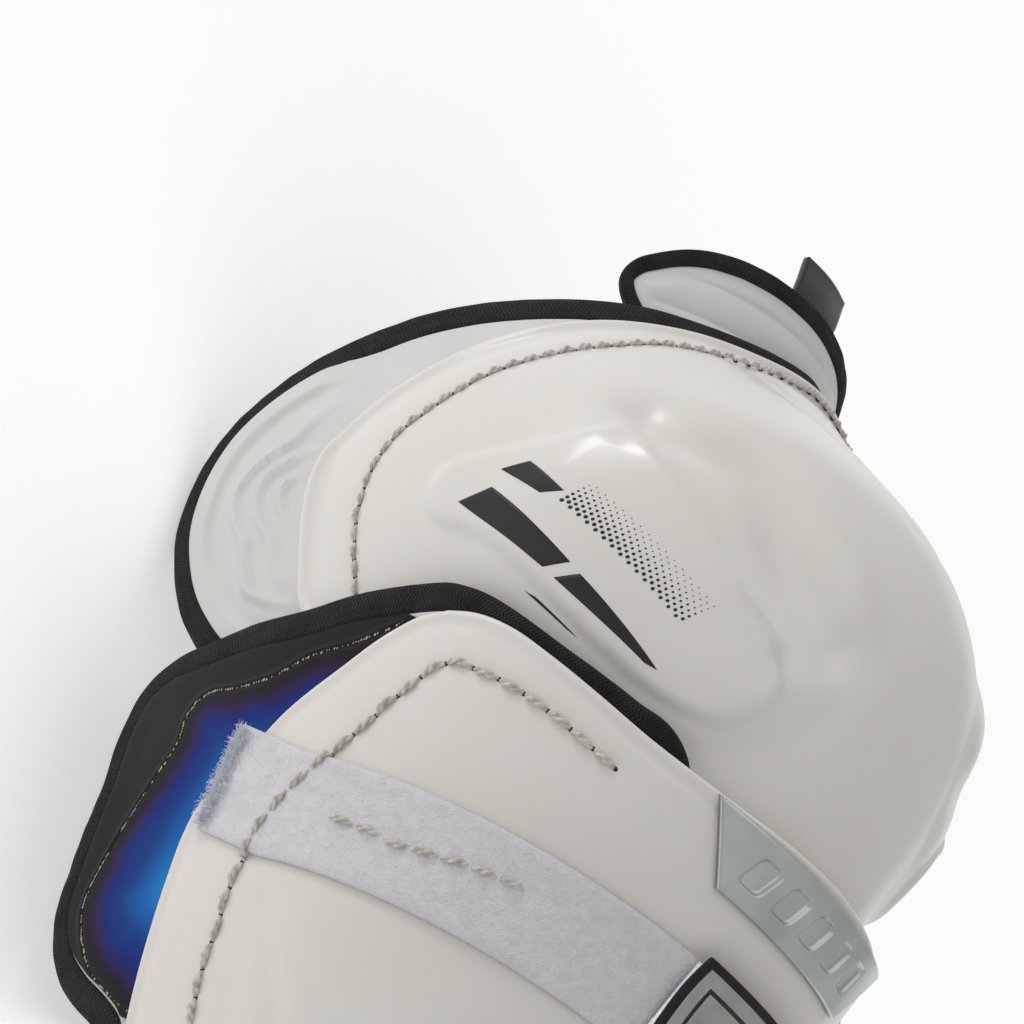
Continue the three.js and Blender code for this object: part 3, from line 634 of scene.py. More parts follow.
def node(
    tree: Any, kind: str, links: dict[Any, Any] | None = None, inputs: dict[Any, Any] | None = None,
    **settings: Any,
) -> Any:
    """Adds a node to a material.

    Args:
        tree: the material's node tree.
        kind: the node's type name.
        links: output sockets to join to named or numbered inputs.
        inputs: constant values of named or numbered inputs.
        settings: the node's own properties; ramp is a list of (place, hex colour).

    Returns:
        The new node.
    """
    made = tree.nodes.new(kind)
    for key, value in settings.items():
        if key == "ramp":
            stops = made.color_ramp.elements
            while len(stops) < len(value):
                stops.new(0.5)
            for stop, (place, colour) in zip(stops, value):
                stop.position = place
                stop.color = linear(colour)
        else:
            setattr(made, key, value)
    set_inputs(made, inputs or {})
    for key, socket in (links or {}).items():
        tree.links.new(socket, made.inputs[key])
    return made


def set_inputs(shader: Any, values: dict[str, Any]) -> None:
    """Sets constant values on a shader's own inputs."""
    for key, value in values.items():
        shader.inputs[key].default_value = value


@dataclass(frozen=True)
class Finish:
    """One finish: a base colour with a soft mottle, and a bump of its own grain.

    Args:
        name: what it is.
        colour: the main colour.
        shade: the colour of its darker patches.
        rough: the roughness.
        patch: size of the patches in mm.
        grain: size of the fine grain in mm.
        bump: depth of the grain in mm.
        ior: refractive index.
        metal: 1 for metal.
        sheen: the soft edge light of cloth.
        coat: weight of a clear top layer.
        glow: light let through, as subsurface weight.
        shine: strength of the mirror-like reflection, 0.5 as the IOR gives it.
    """

    name: str
    colour: str
    shade: str
    rough: float
    patch: float = 30
    grain: float = 0.6
    bump: float = 0.02
    ior: float = 1.5
    metal: float = 0
    sheen: float = 0
    coat: float = 0
    glow: float = 0
    shine: float = 0.5

    def material(self) -> Any:
        """The material, made once and then shared."""
        made = bpy.data.materials.get(self.name)
        if made:
            return made
        made = bpy.data.materials.new(self.name)
        made.use_nodes = True
        tree = made.node_tree
        shader = tree.nodes["Principled BSDF"]
        set_inputs(shader, {
            "Metallic": self.metal, "IOR": self.ior, "Specular IOR Level": self.shine,
            "Sheen Weight": self.sheen, "Coat Weight": self.coat, "Subsurface Weight": self.glow,
            "Subsurface Scale": 3 * MM,
        })
        place = node(tree, "ShaderNodeTexCoord").outputs["Object"]
        self.dress(tree, shader, place)
        return made

    def dress(self, tree: Any, shader: Any, place: Any) -> None:
        """Mottled colour, uneven roughness and a grain in the bump."""
        self.mottle(tree, shader, place)
        self.roughen(tree, shader, place)
        grit = {"Scale": 1 / (self.grain * MM), "Detail": 2.0}
        self.raise_by(tree, shader, node(tree, "ShaderNodeTexNoise", {"Vector": place}, grit).outputs["Fac"])

    def mottle(self, tree: Any, shader: Any, place: Any) -> Any:
        """Wide soft patches between the two colours."""
        size = {"Scale": 1 / (self.patch * MM), "Detail": 4.0}
        wide = node(tree, "ShaderNodeTexNoise", {"Vector": place}, size).outputs["Fac"]
        stops = [(0.35, self.shade), (0.62, self.colour)]
        colour = node(tree, "ShaderNodeValToRGB", {"Fac": wide}, ramp=stops)
        tree.links.new(colour.outputs["Color"], shader.inputs["Base Color"])
        return colour.outputs["Color"]

    def roughen(self, tree: Any, shader: Any, place: Any) -> None:
        """Roughness that drifts a little, as handled surfaces do."""
        size = {"Scale": 1 / (self.patch * 0.4 * MM), "Detail": 3.0}
        drift = node(tree, "ShaderNodeTexNoise", {"Vector": place}, size).outputs["Fac"]
        span = {"To Min": self.rough * 0.85, "To Max": self.rough * 1.2}
        rough = node(tree, "ShaderNodeMapRange", {"Value": drift}, span)
        tree.links.new(rough.outputs["Result"], shader.inputs["Roughness"])

    def raise_by(self, tree: Any, shader: Any, height: Any) -> None:
        """Joins a height of 0 to 1 to the shader's normal as a bump."""
        bent = node(tree, "ShaderNodeBump", {"Height": height}, {"Strength": 1.0, "Distance": self.bump * MM})
        tree.links.new(bent.outputs["Normal"], shader.inputs["Normal"])


@dataclass(frozen=True)
class Knit(Finish):
    """Cloth whose stitches follow the piece: rows of slanted loops that change way row by row.

    Args:
        row: width of a row of loops in mm.
        loop: length of a loop in mm.
        slant: how far a loop leans along the piece, in mm over a row.
    """

    row: float = 1.1
    loop: float = 0.9
    slant: float = 0.8

    def dress(self, tree: Any, shader: Any, place: Any) -> None:
        """Height is |sin| of the run plus the slanted row, twice over a zigzag across the piece; the colour is
        scaled by that height, darker in the hollows as painted shade and lighter on the crowns as painted
        highlight.
        """
        colour = self.mottle(tree, shader, place)
        self.roughen(tree, shader, place)
        run = node(tree, "ShaderNodeUVMap", uv_map="weave").outputs["UV"]
        split = node(tree, "ShaderNodeSeparateXYZ", {"Vector": run}).outputs
        steps = (
            ("PINGPONG", "zigzag", "across", self.row * MM),
            ("MULTIPLY", "lean", "zigzag", self.slant / self.row),
            ("ADD", "along", "run", "lean"),
            ("MULTIPLY", "turns", "along", np.pi / (self.loop * MM)),
            ("SINE", "wave", "turns", None),
            ("ABSOLUTE", "loops", "wave", None),
            ("ADD", "height", "loops", "fuzz"),
        )
        grit = {"Scale": 1 / (self.grain * MM), "Detail": 2.0}
        fuzz = node(tree, "ShaderNodeTexNoise", {"Vector": place}, grit).outputs["Fac"]
        values = {"run": split["X"], "across": split["Y"], "fuzz": fuzz}
        for kind, name, first, second in steps:
            joined = {0: values[first], 1: values[second]} if isinstance(second, str) else {0: values[first]}
            fixed = {} if second is None or isinstance(second, str) else {1: second}
            values[name] = node(tree, "ShaderNodeMath", joined, fixed, operation=kind).outputs[0]
        height = values["height"]
        self.raise_by(tree, shader, height)
        # Painted shade and highlight: the colour is multiplied by 0.25 in the loops' hollows up to 2.2 on their
        # crowns, following the bump's height
        span = {"From Min": 0.6, "From Max": 1.5, "To Min": 0.25, "To Max": 2.2}
        depth = node(tree, "ShaderNodeMapRange", {"Value": height}, span).outputs["Result"]
        painted_shading = node(tree, "ShaderNodeVectorMath", {0: colour, "Scale": depth}, operation="SCALE")
        tree.links.new(painted_shading.outputs["Vector"], shader.inputs["Base Color"])


@dataclass(frozen=True)
class Film(Finish):
    """Polyurethane film over a matt border: the mark film is the mm from the seam to the shell.

    Its vapour coating turns the blue through violet to black where it thins at the seam.
    """

    def mottle(self, tree: Any, shader: Any, place: Any) -> Any:
        """The border, then black, violet, royal and bright blue by the distance from the seam."""
        film = node(tree, "ShaderNodeAttribute", attribute_name="film").outputs["Fac"]
        size = {"Scale": 1 / (self.patch * MM), "Detail": 3.0}
        drift = node(tree, "ShaderNodeTexNoise", {"Vector": place}, size).outputs["Fac"]
        sway = node(tree, "ShaderNodeMapRange", {"Value": drift}, {"To Min": -2.6, "To Max": 2.6})
        moved = node(tree, "ShaderNodeMath", {0: film, 1: sway.outputs["Result"]}, operation="ADD")
        kept = node(tree, "ShaderNodeMapRange", {"Value": film}, {"From Min": 0.2, "From Max": 2.5})
        inner = {0: moved.outputs[0], 1: kept.outputs["Result"]}
        inside = node(tree, "ShaderNodeMath", inner, operation="MULTIPLY")
        span = {"From Min": 0.0, "From Max": 26.0}
        share = node(tree, "ShaderNodeMapRange", {"Value": inside.outputs[0]}, span)
        stops = [
            (0.0, "#1C1B1B"), (0.05, "#161218"), (0.12, "#1F1226"), (0.19, "#2A1550"), (0.27, "#0B1F6C"),
            (0.36, "#02297F"), (0.52, "#003B86"), (0.74, "#0760B0"), (1.0, "#1484C6"),
        ]
        colour = node(tree, "ShaderNodeValToRGB", {"Fac": share.outputs["Result"]}, ramp=stops)
        tree.links.new(colour.outputs["Color"], shader.inputs["Base Color"])
        return colour.outputs["Color"]


# Injection-moulded polypropylene: a hard gloss with a faint flow mottle
SHELL = Finish(
    "glossy moulded polypropylene", "#E9E6E0", "#E4E0D9", 0.3, 90, 1.2, 0.0015, 1.49, coat=0.15, glow=0.04
)
# Pressure-moulded EVA foam: satin skin, pebbled at half a millimetre
FOAM = Finish("moulded EVA foam", "#DCDCD9", "#D6D7D5", 0.52, 45, 0.7, 0.07, 1.5, glow=0.06)
# Brushed polyester lining laminated to the foam's leg side
LINING = Finish("brushed polyester lining", "#C9CCCF", "#B9BCC0", 0.9, 9, 0.5, 0.12, 1.5, sheen=0.4)
# Knitted polyester binding tape: black loops with lighter crowns as painted highlight and darker hollows as painted
# shade; the loops are drawn at 0.9 mm
BINDING = Knit("black knitted binding", "#1F1F1F", "#121212", 0.85, 7, 0.3, 0.5, 1.5, sheen=0.06, shine=0.25)
# The same tape in a finer gauge, round the thigh flap
BINDING_FINE = Knit(
    "fine black edging", "#1F1F1F", "#121212", 0.8, 7, 0.25, 0.35, 1.5, sheen=0.05, shine=0.25, row=0.8, loop=0.8
)
# Woven elastic: fine ribs across a pale polyester face, lighter on the ribs as painted highlight and darker between
# them as painted shade
ELASTIC = Knit(
    "ribbed elastic webbing", "#D3D3D6", "#C2C2C6", 0.85, 12, 0.3, 0.16, 1.5, sheen=0.2, row=50, loop=1.0, slant=0.0
)
# Vapour-coated film, welded over a matt black border
FILM = Film("vapour coated film", "#0A5FAE", "#2A1550", 0.38, 14, 0.8, 0.012, 1.5, shine=0.16)
# Nickel-plated ABS with a satin face: broad soft reflections
PLATE = Finish("satin nickel plate", "#C9CFCC", "#B7BEBB", 0.3, 18, 0.5, 0.004, metal=1.0)
# Bonded polyester thread: waxed, a little dusty in its twist
THREAD = Finish("waxed polyester thread", "#DAD6CD", "#B8B1A4", 0.7, 1.6, 0.22, 0.12, 1.5, sheen=0.3)
# The same thread in black, in the tab's sewn line
THREAD_BLACK = Finish("black sewing thread", "#141414", "#0E0E0E", 0.7, 1.5, 0.2, 0.06, 1.5, sheen=0.2)
# Polypropylene in shade: the dark dent where the needle went through
HOLE = Finish("needle hole shadow", "#4A4640", "#2E2B27", 0.9, 2, 0.3, 0.02)
# Brushed nylon loop pile: bluish white, matt, with light fibre tips
PILE = Finish("brushed nylon loop", "#E2E1E4", "#DAD9DD", 0.95, 3, 0.45, 0.4, 1.53, sheen=0.5)
# Drawn nylon filament: clear, so it lights up at the cut edge
FIBRE = Finish("nylon fibre", "#F0F0F6", "#DCDCE6", 0.6, 5, 0.3, 0.01, 1.53, glow=0.2)
# Moulded nylon hooks: black and matt, as they shade each other
HOOK = Finish("black nylon hook", "#161617", "#0C0C0D", 0.75, 2, 0.4, 0.3, 1.53)
# Polyurethane-coated polyester: a grey cloth with a faint weave
TAB = Finish("grey coated cloth", "#A9A8A5", "#9A9996", 0.68, 9, 0.5, 0.08, 1.5, sheen=0.1)
# Woven satin tape: long floats give a soft sheen
SATIN = Finish("black satin tape", "#202023", "#151517", 0.42, 6, 0.35, 0.08, 1.5, sheen=0.35)
# Two-part pad-printing ink: a thin black layer, a little duller than the shell
INK = Finish("black pad-printed ink", "#1D1D1F", "#161617", 0.36, 10, 0.6, 0.003, 1.5)


# ---- shared shapes ----

# Millimetres: the shells' wall, the pads' edge, how far each pad lies inside its form, the width
# of a binding, and how high a piece lies over the shell when a seam's thread is under it
WALL = 3.0
EDGE = 2.0
PAD_OFF = -4.4
KNEE_PAD_OFF = -4.3
FLAP_OFF = -8.2
BAND = 6.4
CLEAR = 0.45
# Outlines as rows of (wrap, at); a top edge's rows are (share across, at), and a seam's (wrap, mm)
PAD_SIDE = np.array([
    (0.82, 2.03), (1.02, 2), (1.09, 1.93), (1.11, 1.78), (1.12, 1.6), (1.13, 1.4), (1.15, 1.2), (1.165, 1.06),
    (1.2, 0.975), (1.27, 0.945), (1.36, 0.92), (1.44, 0.88), (1.49, 0.82), (1.515, 0.7), (1.535, 0.5),
    (1.552, 0.39), (1.545, 0.31), (1.5, 0.25), (1.42, 0.2), (1.31, 0.13), (1.2, 0.07), (1.09, -0.005),
    (1, -0.06), (0.93, -0.1),
])
PAD_TOP = np.array([
    (0, 0.27), (0.2, 0.27), (0.31, 0.25), (0.37, 0.14), (0.43, -0.02), (0.49, -0.075), (0.56, -0.08),
    (0.66, -0.087),
    (0.77, -0.096), (0.87, -0.107), (0.94, -0.11), (1, -0.1),
])
SHELL_SIDE = np.array([
    (0.78, 2), (0.93, 1.975), (0.99, 1.92), (1.03, 1.8), (1.05, 1.68), (1.07, 1.55), (1.1, 1.35),
    (1.125, 1.15),
    (1.148, 0.985), (1.178, 0.806), (1.199, 0.675), (1.212, 0.57), (1.209, 0.51), (1.162, 0.42),
    (1.128, 0.311),
    (1.101, 0.233), (1.047, 0.115), (0.983, 0), (0.933, -0.063), (0.893, -0.095),
])
SHELL_TOP = np.array([
    (0, -0.105), (0.16, -0.098), (0.378, -0.084), (0.548, -0.086), (0.669, -0.101), (0.785, -0.116),
    (0.876, -0.124),
    (0.943, -0.116), (1, -0.095),
])
CAP_RIM = np.array([
    (0, 1), (0.12, 0.99), (0.266, 0.966), (0.382, 0.948), (0.486, 0.926), (0.582, 0.9), (0.682, 0.86),
    (0.782, 0.808),
    (0.875, 0.745), (0.955, 0.689), (1.003, 0.65), (1.031, 0.618), (1.043, 0.57), (1.041, 0.5), (1.028, 0.42),
    (1.0, 0.32), (0.94, 0.262), (0.84, 0.237), (0.7, 0.212), (0.55, 0.165), (0.42, 0.1), (0.3, 0.042),
    (0.15, 0), (0, -0.02),
])
KNEE_PAD_RIM = np.array([
    (0, 1.035), (0.129, 1.02), (0.25, 1.004), (0.378, 0.991), (0.494, 0.982), (0.6, 0.966), (0.72, 0.943),
    (0.85, 0.918),
    (0.983, 0.89), (1.083, 0.861), (1.187, 0.822), (1.263, 0.775), (1.32, 0.72), (1.352, 0.655),
    (1.366, 0.59),
    (1.366, 0.52), (1.347, 0.455), (1.315, 0.39), (1.263, 0.325), (1.19, 0.26), (1.08, 0.21), (0.93, 0.165),
    (0.75, 0.13), (0.55, 0.08), (0.38, 0.02), (0.2, -0.03), (0, -0.05),
])
FLAP_RIM = np.array([
    (0, 1.158), (0.1, 1.156), (0.212, 1.152), (0.32, 1.143), (0.413, 1.126), (0.485, 1.101), (0.533, 1.077),
    (0.557, 1.048), (0.55, 1.018), (0.525, 0.985), (0.48, 0.955), (0.41, 0.94), (0.3, 0.935), (0.15, 0.935),
    (0, 0.935),
])
SHELL_STITCH = np.array([
    (-0.97, -97), (-0.997, -86), (-1.01, -76), (-1.027, -65), (-1.024, -56), (-0.997, -44), (-0.953, -31),
    (-0.923, -20),
    (-0.893, -9), (-0.85, -0.8), (-0.792, 1.0), (-0.711, 1.6), (-0.627, 0.8), (-0.563, -0.2), (-0.506, -1.2),
])
CAP_STITCH = np.array([
    (-0.891, 49), (-0.907, 60), (-0.911, 70), (-0.899, 79), (-0.871, 86), (-0.81, 94), (-0.754, 101),
    (-0.658, 110),
    (-0.562, 117), (-0.47, 123), (-0.37, 127), (-0.282, 130), (-0.178, 134), (-0.037, 138), (0.037, 138),
])


def crowded(count: int, share: float = 0.88) -> Array:
    """Places from 0 to 1 that lie closer together at both ends: a rescaled sine."""
    turn = np.linspace(-1, 1, count) * share * QUARTER
    return 0.5 + 0.5 * np.sin(turn) / np.sin(share * QUARTER)


def sheet_grid(side: Array, top: Array, rows: int, cols: int) -> tuple[Array, Array]:
    """Places of a sheet that is spread between two side outlines.

    Args:
        side: the far side's outline, foot first, as (wrap, at).
        top: the top edge as (share across, at).
        rows: how many rows.
        cols: how many columns.

    Returns:
        wrap = share * side's wrap, and at = side's at, lifted near the top by
        (height share)^3 times the top edge's dip.
    """
    count = 1200
    run = evened(side, count, np.array([127.0, 160.0]), False, 3.0)
    run = run[np.round(crowded(rows) * (count - 1)).astype(int)]
    share = crowded(cols) * 2 - 1
    height = SHIN.height(run[:, 1])
    weight = ((height - height[0]) / (height[-1] - height[0])) ** 3
    dip = Track(top[:, 0], top[:, 1], 0.03)(np.abs(share)) - side[-1, 1]
    return run[:, :1] * share[None], run[:, 1:] + weight[:, None] * dip[None]


def around(wrap: Array, at: Array) -> Array:
    """The outline of a grid, once round, as (wrap, at)."""
    both = np.stack([wrap, at], axis=-1)
    return np.concatenate([both[:-1, -1], both[-1, :0:-1], both[:0:-1, 0], both[0, :-1]])


def rounded_edge(distance: Array, radius: float) -> Array:
    """How far a face drops towards a rounded edge: r - sqrt(r^2 - (r - d)^2)."""
    inside = np.clip(radius - distance, 0, radius)
    return radius - np.sqrt(np.maximum(radius**2 - inside**2, 0))


@dataclass
class EdgeBand:
    """A knitted tape folded over the edge of a pad."""

    name: str
    node: str
    surface: Surface
    scale: Array
    off: float
    finish: Finish
    lap: float = 1.2
    wide: float = BAND
    count: int = 1000

    def build(self, edge: Array) -> Any:
        """Carries a rounded rectangle round the edge.

        Args:
            edge: the pad's outline as (wrap, at), once round.

        Returns:
            The band: outwards o = middle + half * c^0.55 and off f = middle + half * s^0.7
            for a turning angle with cosine c and sine s.
        """
        loop = evened(edge, self.count, self.scale, True, 2.0)
        step = -inward(loop, self.scale)
        angle = np.linspace(0, 2 * np.pi, 26, endpoint=False)
        c, s = np.cos(angle), np.sin(angle)
        out = (self.wide - self.lap) / 2 + (self.wide + self.lap) / 2 * np.sign(c) * np.abs(c) ** 0.55
        lift = self.off - EDGE / 2 + (EDGE / 2 + 0.55) * np.sign(s) * np.abs(s) ** 0.7
        place = loop[:, None] + step[:, None] * out[None, :, None]
        points = self.surface(place[..., 0], place[..., 1], np.broadcast_to(lift, place.shape[:2]))
        run = np.linalg.norm(np.diff(points[:, 0], axis=0, append=points[:1, 0]), axis=1)
        run = np.cumsum(run)[:, None] + np.zeros(len(angle))
        over = np.where(s >= 0, out, -out) + np.zeros_like(run)
        mesh = Mesh(self.name)
        points = points + 0.12 * ripple(points, 9, 5)[..., None] * np.array([0.3, 0.3, 1])
        seam = np.concatenate([points, points[:1]])
        last = run[-1:] + (run[-1] - run[-2])
        mark = {"run": np.concatenate([run, last]), "over": np.concatenate([over, over[:1]])}
        mesh.add(seam, faces_of(len(seam), len(angle), True), mark)
        return mesh.build([self.finish], self.node, Slot.BINDING, ("run", "over"))


@dataclass
class Seam:
    """A run of lock stitches in a thick two-ply thread."""

    surface: Surface
    pitch: float
    thread: float = 0.95
    rise: float = 1.0
    twists: float = 1.25

    def add_to(self, mesh: Mesh, line: Array) -> None:
        """Adds the stitches and their needle holes.

        Args:
            mesh: the mesh that gathers them.
            line: the seam's line as (wrap, at), evenly spaced places that the surface reads.

        Two strands wind round each stitch's arch: the arch's height is -0.5 + rise sin^0.6,
        and a strand lies at a turning angle round it, offset by half a thread.
        """
        path = self.surface(line[:, 0], line[:, 1], 0.0)
        up = outward_of(self.surface, line[:, 0], line[:, 1])
        run = run_along(path)
        count = max(int(run[-1] / self.pitch), 1)
        share = np.linspace(0.03, 0.97, 13)
        place = (np.arange(count)[:, None] + share[None]) * run[-1] / count
        spot = read_at(place, run, path)
        out = read_at(place, run, up)
        along = np.gradient(spot, axis=1)
        along /= np.linalg.norm(along, axis=-1)[..., None]
        side = np.cross(along, out)
        arch = -0.55 + (self.rise + 0.55) * np.sin(np.pi * share) ** 0.6
        rng = np.random.default_rng(3)
        phase = rng.uniform(0, 6, (count, 1, 1))
        sway = rng.normal(0, 0.18, (count, 1, 1)) * np.sin(np.pi * share)[None, :, None]
        middle = spot + out * arch[None, :, None] + side * sway
        turn = np.linspace(0, 2 * np.pi, 8, endpoint=False)[:, None]
        c, s = np.cos(turn), np.sin(turn)
        slim = (0.55 + 0.45 * np.sin(np.pi * share) ** 0.5)[None, :, None]
        for ply in (0, np.pi):
            wind = (2 * np.pi * self.twists * share)[None, :, None] + phase + ply
            centre = middle + self.thread * 0.42 * slim * (np.cos(wind) * side + np.sin(wind) * out)
            radius = self.thread * 0.5 * slim[..., None]
            ring = centre[:, :, None] + radius * (c * side[:, :, None] + s * out[:, :, None])
            mesh.add(ring, tubes(count, len(share), 8))
        ends = np.arange(count + 1) * run[-1] / count
        centre, lift = read_at(ends, run, path), read_at(ends, run, up)
        ahead = np.gradient(centre, axis=0)
        ahead /= np.linalg.norm(ahead, axis=-1)[:, None]
        disc = c * ahead[:, None] * 0.75 + s * np.cross(ahead, lift)[:, None] * 0.62
        layers = ((0.02, 0.1), (1.0, 0.06), (1.0, -0.3), (0.02, -0.3))
        rims = [centre[:, None] + disc * size + lift[:, None] * high for size, high in layers]
        mesh.add(np.stack(rims, axis=1), tubes(len(ends), 4, 8), slot=1)


# ---- sub-assemblies ----


@dataclass
class KneePart:
    """The tilted knee part: cap with its printed graphic, foam pad, thigh flap and their edges."""

    cap_wall: float = WALL
    cap_heart: tuple[float, float] = (0.0, 0.46)
    flap_heart: tuple[float, float] = (0.0, 1.04)
    pad_fill: float = 0.93
    pad_thick: float = 9.0
    flap_thick: float = 7.0
    rib_gap: float = 7.0
    rib_high: float = 1.5
    boss_step: float = 1.5
    far_fold: float = 0.45
    flap_band: float = 3.4
    bar_slant: float = 2.4
    rib_zigzag: float = 5.0
    rib_repeat: float = 30.0
    rib_half: float = 1.2
    bars: Sequence[Sequence[float]] = (
        (0.705, 0.482, 0.575, 0.375, 6.2, 4.0), (0.558, 0.36, 0.42, 0.25, 3.6, 0.9),
        (0.655, 0.53, 0.6, 0.485, 4.6, 3.2), (0.6, 0.335, 0.53, 0.283, 0.5, 0.25),
    )
    boss_rim: Sequence[Sequence[float]] = (
        (0.785, 0.485), (0.768, 0.535), (0.681, 0.565), (0.602, 0.59), (0.516, 0.63), (0.47, 0.561),
        (0.411, 0.481),
        (0.343, 0.39), (0.288, 0.334), (0.25, 0.25), (0.3, 0.2), (0.39, 0.212), (0.488, 0.266),
        (0.587, 0.341),
        (0.688, 0.42), (0.77, 0.455),
    )

    def seam_line(self) -> Array:
        """The line of stitches inside the cap's upper rim, near side to far side."""
        half = CAP_STITCH / np.array([1, KNEE.rise])
        far = half[:-1][::-1] * np.array([-1, 1])
        return evened(np.vstack([half[:-1], far]), 900, KNEE.scale, False, 3.0)

    def cap_folds(self, wrap: Array, at: Array, points: Array) -> Array:
        """The cap's large relief: scoops, ridges and the stepped boss.

        Args:
            wrap: the places' wraps.
            at: the places' ats.
            points: the places on the form in mm.

        Returns:
            mm outwards: the sum of a bell across each fold, shallower on the far side, and a
            smooth step at the boss's rim.
        """
        relief = np.zeros(wrap.shape)
        for line, deep, wide in self.folds():
            for side, share in ((Side.NEAR, 1.0), (Side.FAR, self.far_fold)):
                path = KNEE.point(line[:, 0] * side.value, line[:, 1])
                relief -= share * deep * bump(distance_to(points, path), 0, wide)
        rim = evened(np.array(self.boss_rim), 300, KNEE.scale, True, 5.0)
        away = distance_to(points, KNEE.point(rim[:, 0], rim[:, 1]))
        away = np.minimum(away, distance_to(points, KNEE.point(-rim[:, 0], rim[:, 1])))
        away *= np.where(enclosed(np.abs(wrap), at, rim), 1, -1)
        return relief + self.boss_step * smoothstep(-1.2, 1.8, away)

    def cap_relief(self, points: Array, edge: Array) -> Array:
        """The cap's small relief: rolled rim, flange and stitch channel.

        Args:
            points: the places on the form in mm.
            edge: their distances from the rim.

        Returns:
            mm outwards: bells beside the rim, a bell along the seam, a step and the rounded rim.
        """
        seam = self.seam_line()
        channel = distance_to(points, KNEE.point(seam[:, 0], seam[:, 1])[::3])
        relief = 0.55 * bump(edge, 1.5, 1.2) - 0.3 * bump(edge, 4.4, 1.6)
        relief -= 0.5 * bump(channel, 0, 1.5)
        relief -= 0.35 * smoothstep(8.5, 6.0, edge) * smoothstep(40, 8, channel)
        return relief - rounded_edge(edge, 1.3)

    @staticmethod
    def folds() -> list[tuple[Array, float, float]]:
        """Soft valleys and ridges on the cap as (line, depth in mm, half width in mm)."""
        scoop = np.array([
            (0.49, 0.65), (0.424, 0.63), (0.345, 0.604), (0.31, 0.544), (0.283, 0.468), (0.246, 0.419),
            (0.2, 0.37),
        ])
        ridge = np.array([(0.516, 0.63), (0.47, 0.561), (0.411, 0.481), (0.343, 0.39), (0.288, 0.334)])
        crease = np.array([(0.32, 0.915), (0.195, 0.887), (0.136, 0.845), (0.08, 0.79), (0.05, 0.7)])
        even = lambda line: evened(line, 90, KNEE.scale, False, 8.0)
        return [
            (even(scoop), 4.0, 7.5), (even(scoop[2:5]), 1.5, 11.0), (even(ridge), -1.2, 3.4),
            (even(crease), 1.0, 3.2),
        ]

    def build_cap(self) -> None:
        """The cap: rings from its heart out to its rolled rim, with a wall inside."""
        loop = evened(mirrored_loop(CAP_RIM), 380, KNEE.scale, True, 2.5)
        wrap, at = rings(self.cap_heart, loop, 130, 0.86)
        points = KNEE.point(wrap, at)
        edge = distance_to(points, points[-1])
        folds = self.cap_folds(wrap, at, points)
        outer = KNEE.point(wrap, at, folds + self.cap_relief(points, edge))
        below = np.minimum(folds, 0) * 0.9 - self.cap_wall + 0.9 * rounded_edge(edge, 1.0)
        inner = KNEE.point(wrap, at, below)
        mesh = Mesh("cap_moulding")
        mesh.sheet(outer, inner, True)
        mesh.build([SHELL], "knee_cap", Slot.SHELL)

    def build_seam(self) -> None:
        """The cap's stitches."""
        mesh = Mesh("cap_stitches")
        lower = lambda wrap, at, off: KNEE.point(wrap, at, off - 0.45)
        Seam(lower, 4.3, 0.8, 0.75, 1.0).add_to(mesh, self.seam_line())
        mesh.build([THREAD, HOLE], None, Slot.SHELL)

    def build_graphic(self) -> None:
        """Generic slanted tapered bars and rows of shrinking dots, printed on both bosses."""
        mesh = Mesh("cap_print")
        for side in Side:
            skin = lambda u, v, off: KNEE.point(side.value * u, v, self.print_lift(side, u, v) + off)
            for u0, v0, u1, v1, wide, slim in self.bars:
                s, t = np.meshgrid(np.linspace(0, 1, 26), np.linspace(-0.5, 0.5, 12), indexing="ij")
                ahead = np.array([(u1 - u0) * KNEE.scale[0], (v1 - v0) * KNEE.scale[1]])
                ahead /= np.linalg.norm(ahead)
                half = (wide + (slim - wide) * s**1.3) * t
                u = u0 + (u1 - u0) * s + (-ahead[1] * half - self.bar_slant * t * ahead[0]) / KNEE.scale[0]
                v = v0 + (v1 - v0) * s + (ahead[0] * half - self.bar_slant * t * ahead[1]) / KNEE.scale[1]
                mesh.sheet(skin(u, v, 0.1), skin(u, v, -0.2), False)
            row, col = np.meshgrid(np.arange(30), np.arange(6), indexing="ij")
            u0 = 0.585 - row * 0.0062 - col * 0.0062 - (row % 2) * 0.0031
            v0 = 0.472 - row * 0.0052 + col * 0.0056 + 0.0028 * (row % 2)
            size = np.clip(0.4 - 0.058 * col - 0.003 * row, 0.1, None)
            u0, v0, size = (grid.ravel()[:, None] for grid in (u0, v0, size))
            turn = np.linspace(0, 2 * np.pi, 10, endpoint=False)
            spots = []
            for part, high in ((0.03, 0.1), (1.0, 0.1), (1.0, -0.15), (0.03, -0.15)):
                u = u0 + part * size * np.cos(turn) / KNEE.scale[0]
                v = v0 + part * size * np.sin(turn) / KNEE.scale[1]
                spots.append(skin(u, v, high))
            mesh.add(np.stack(spots, axis=1), tubes(row.size, 4, 10))
        mesh.build([INK], None, Slot.SHELL)

    def print_lift(self, side: Side, u: Array, v: Array) -> Array:
        """The cap's large relief, read again at the print's own places."""
        return self.cap_folds(side.value * u, v, KNEE.point(side.value * u, v))

    def pad_edge(self, rim: Array, band: float = BAND) -> Array:
        """A pad's own edge, inside the band that binds it."""
        loop = evened(mirrored_loop(rim), 440, KNEE.scale, True, 2.0)
        return loop + inward(loop, KNEE.scale) * band

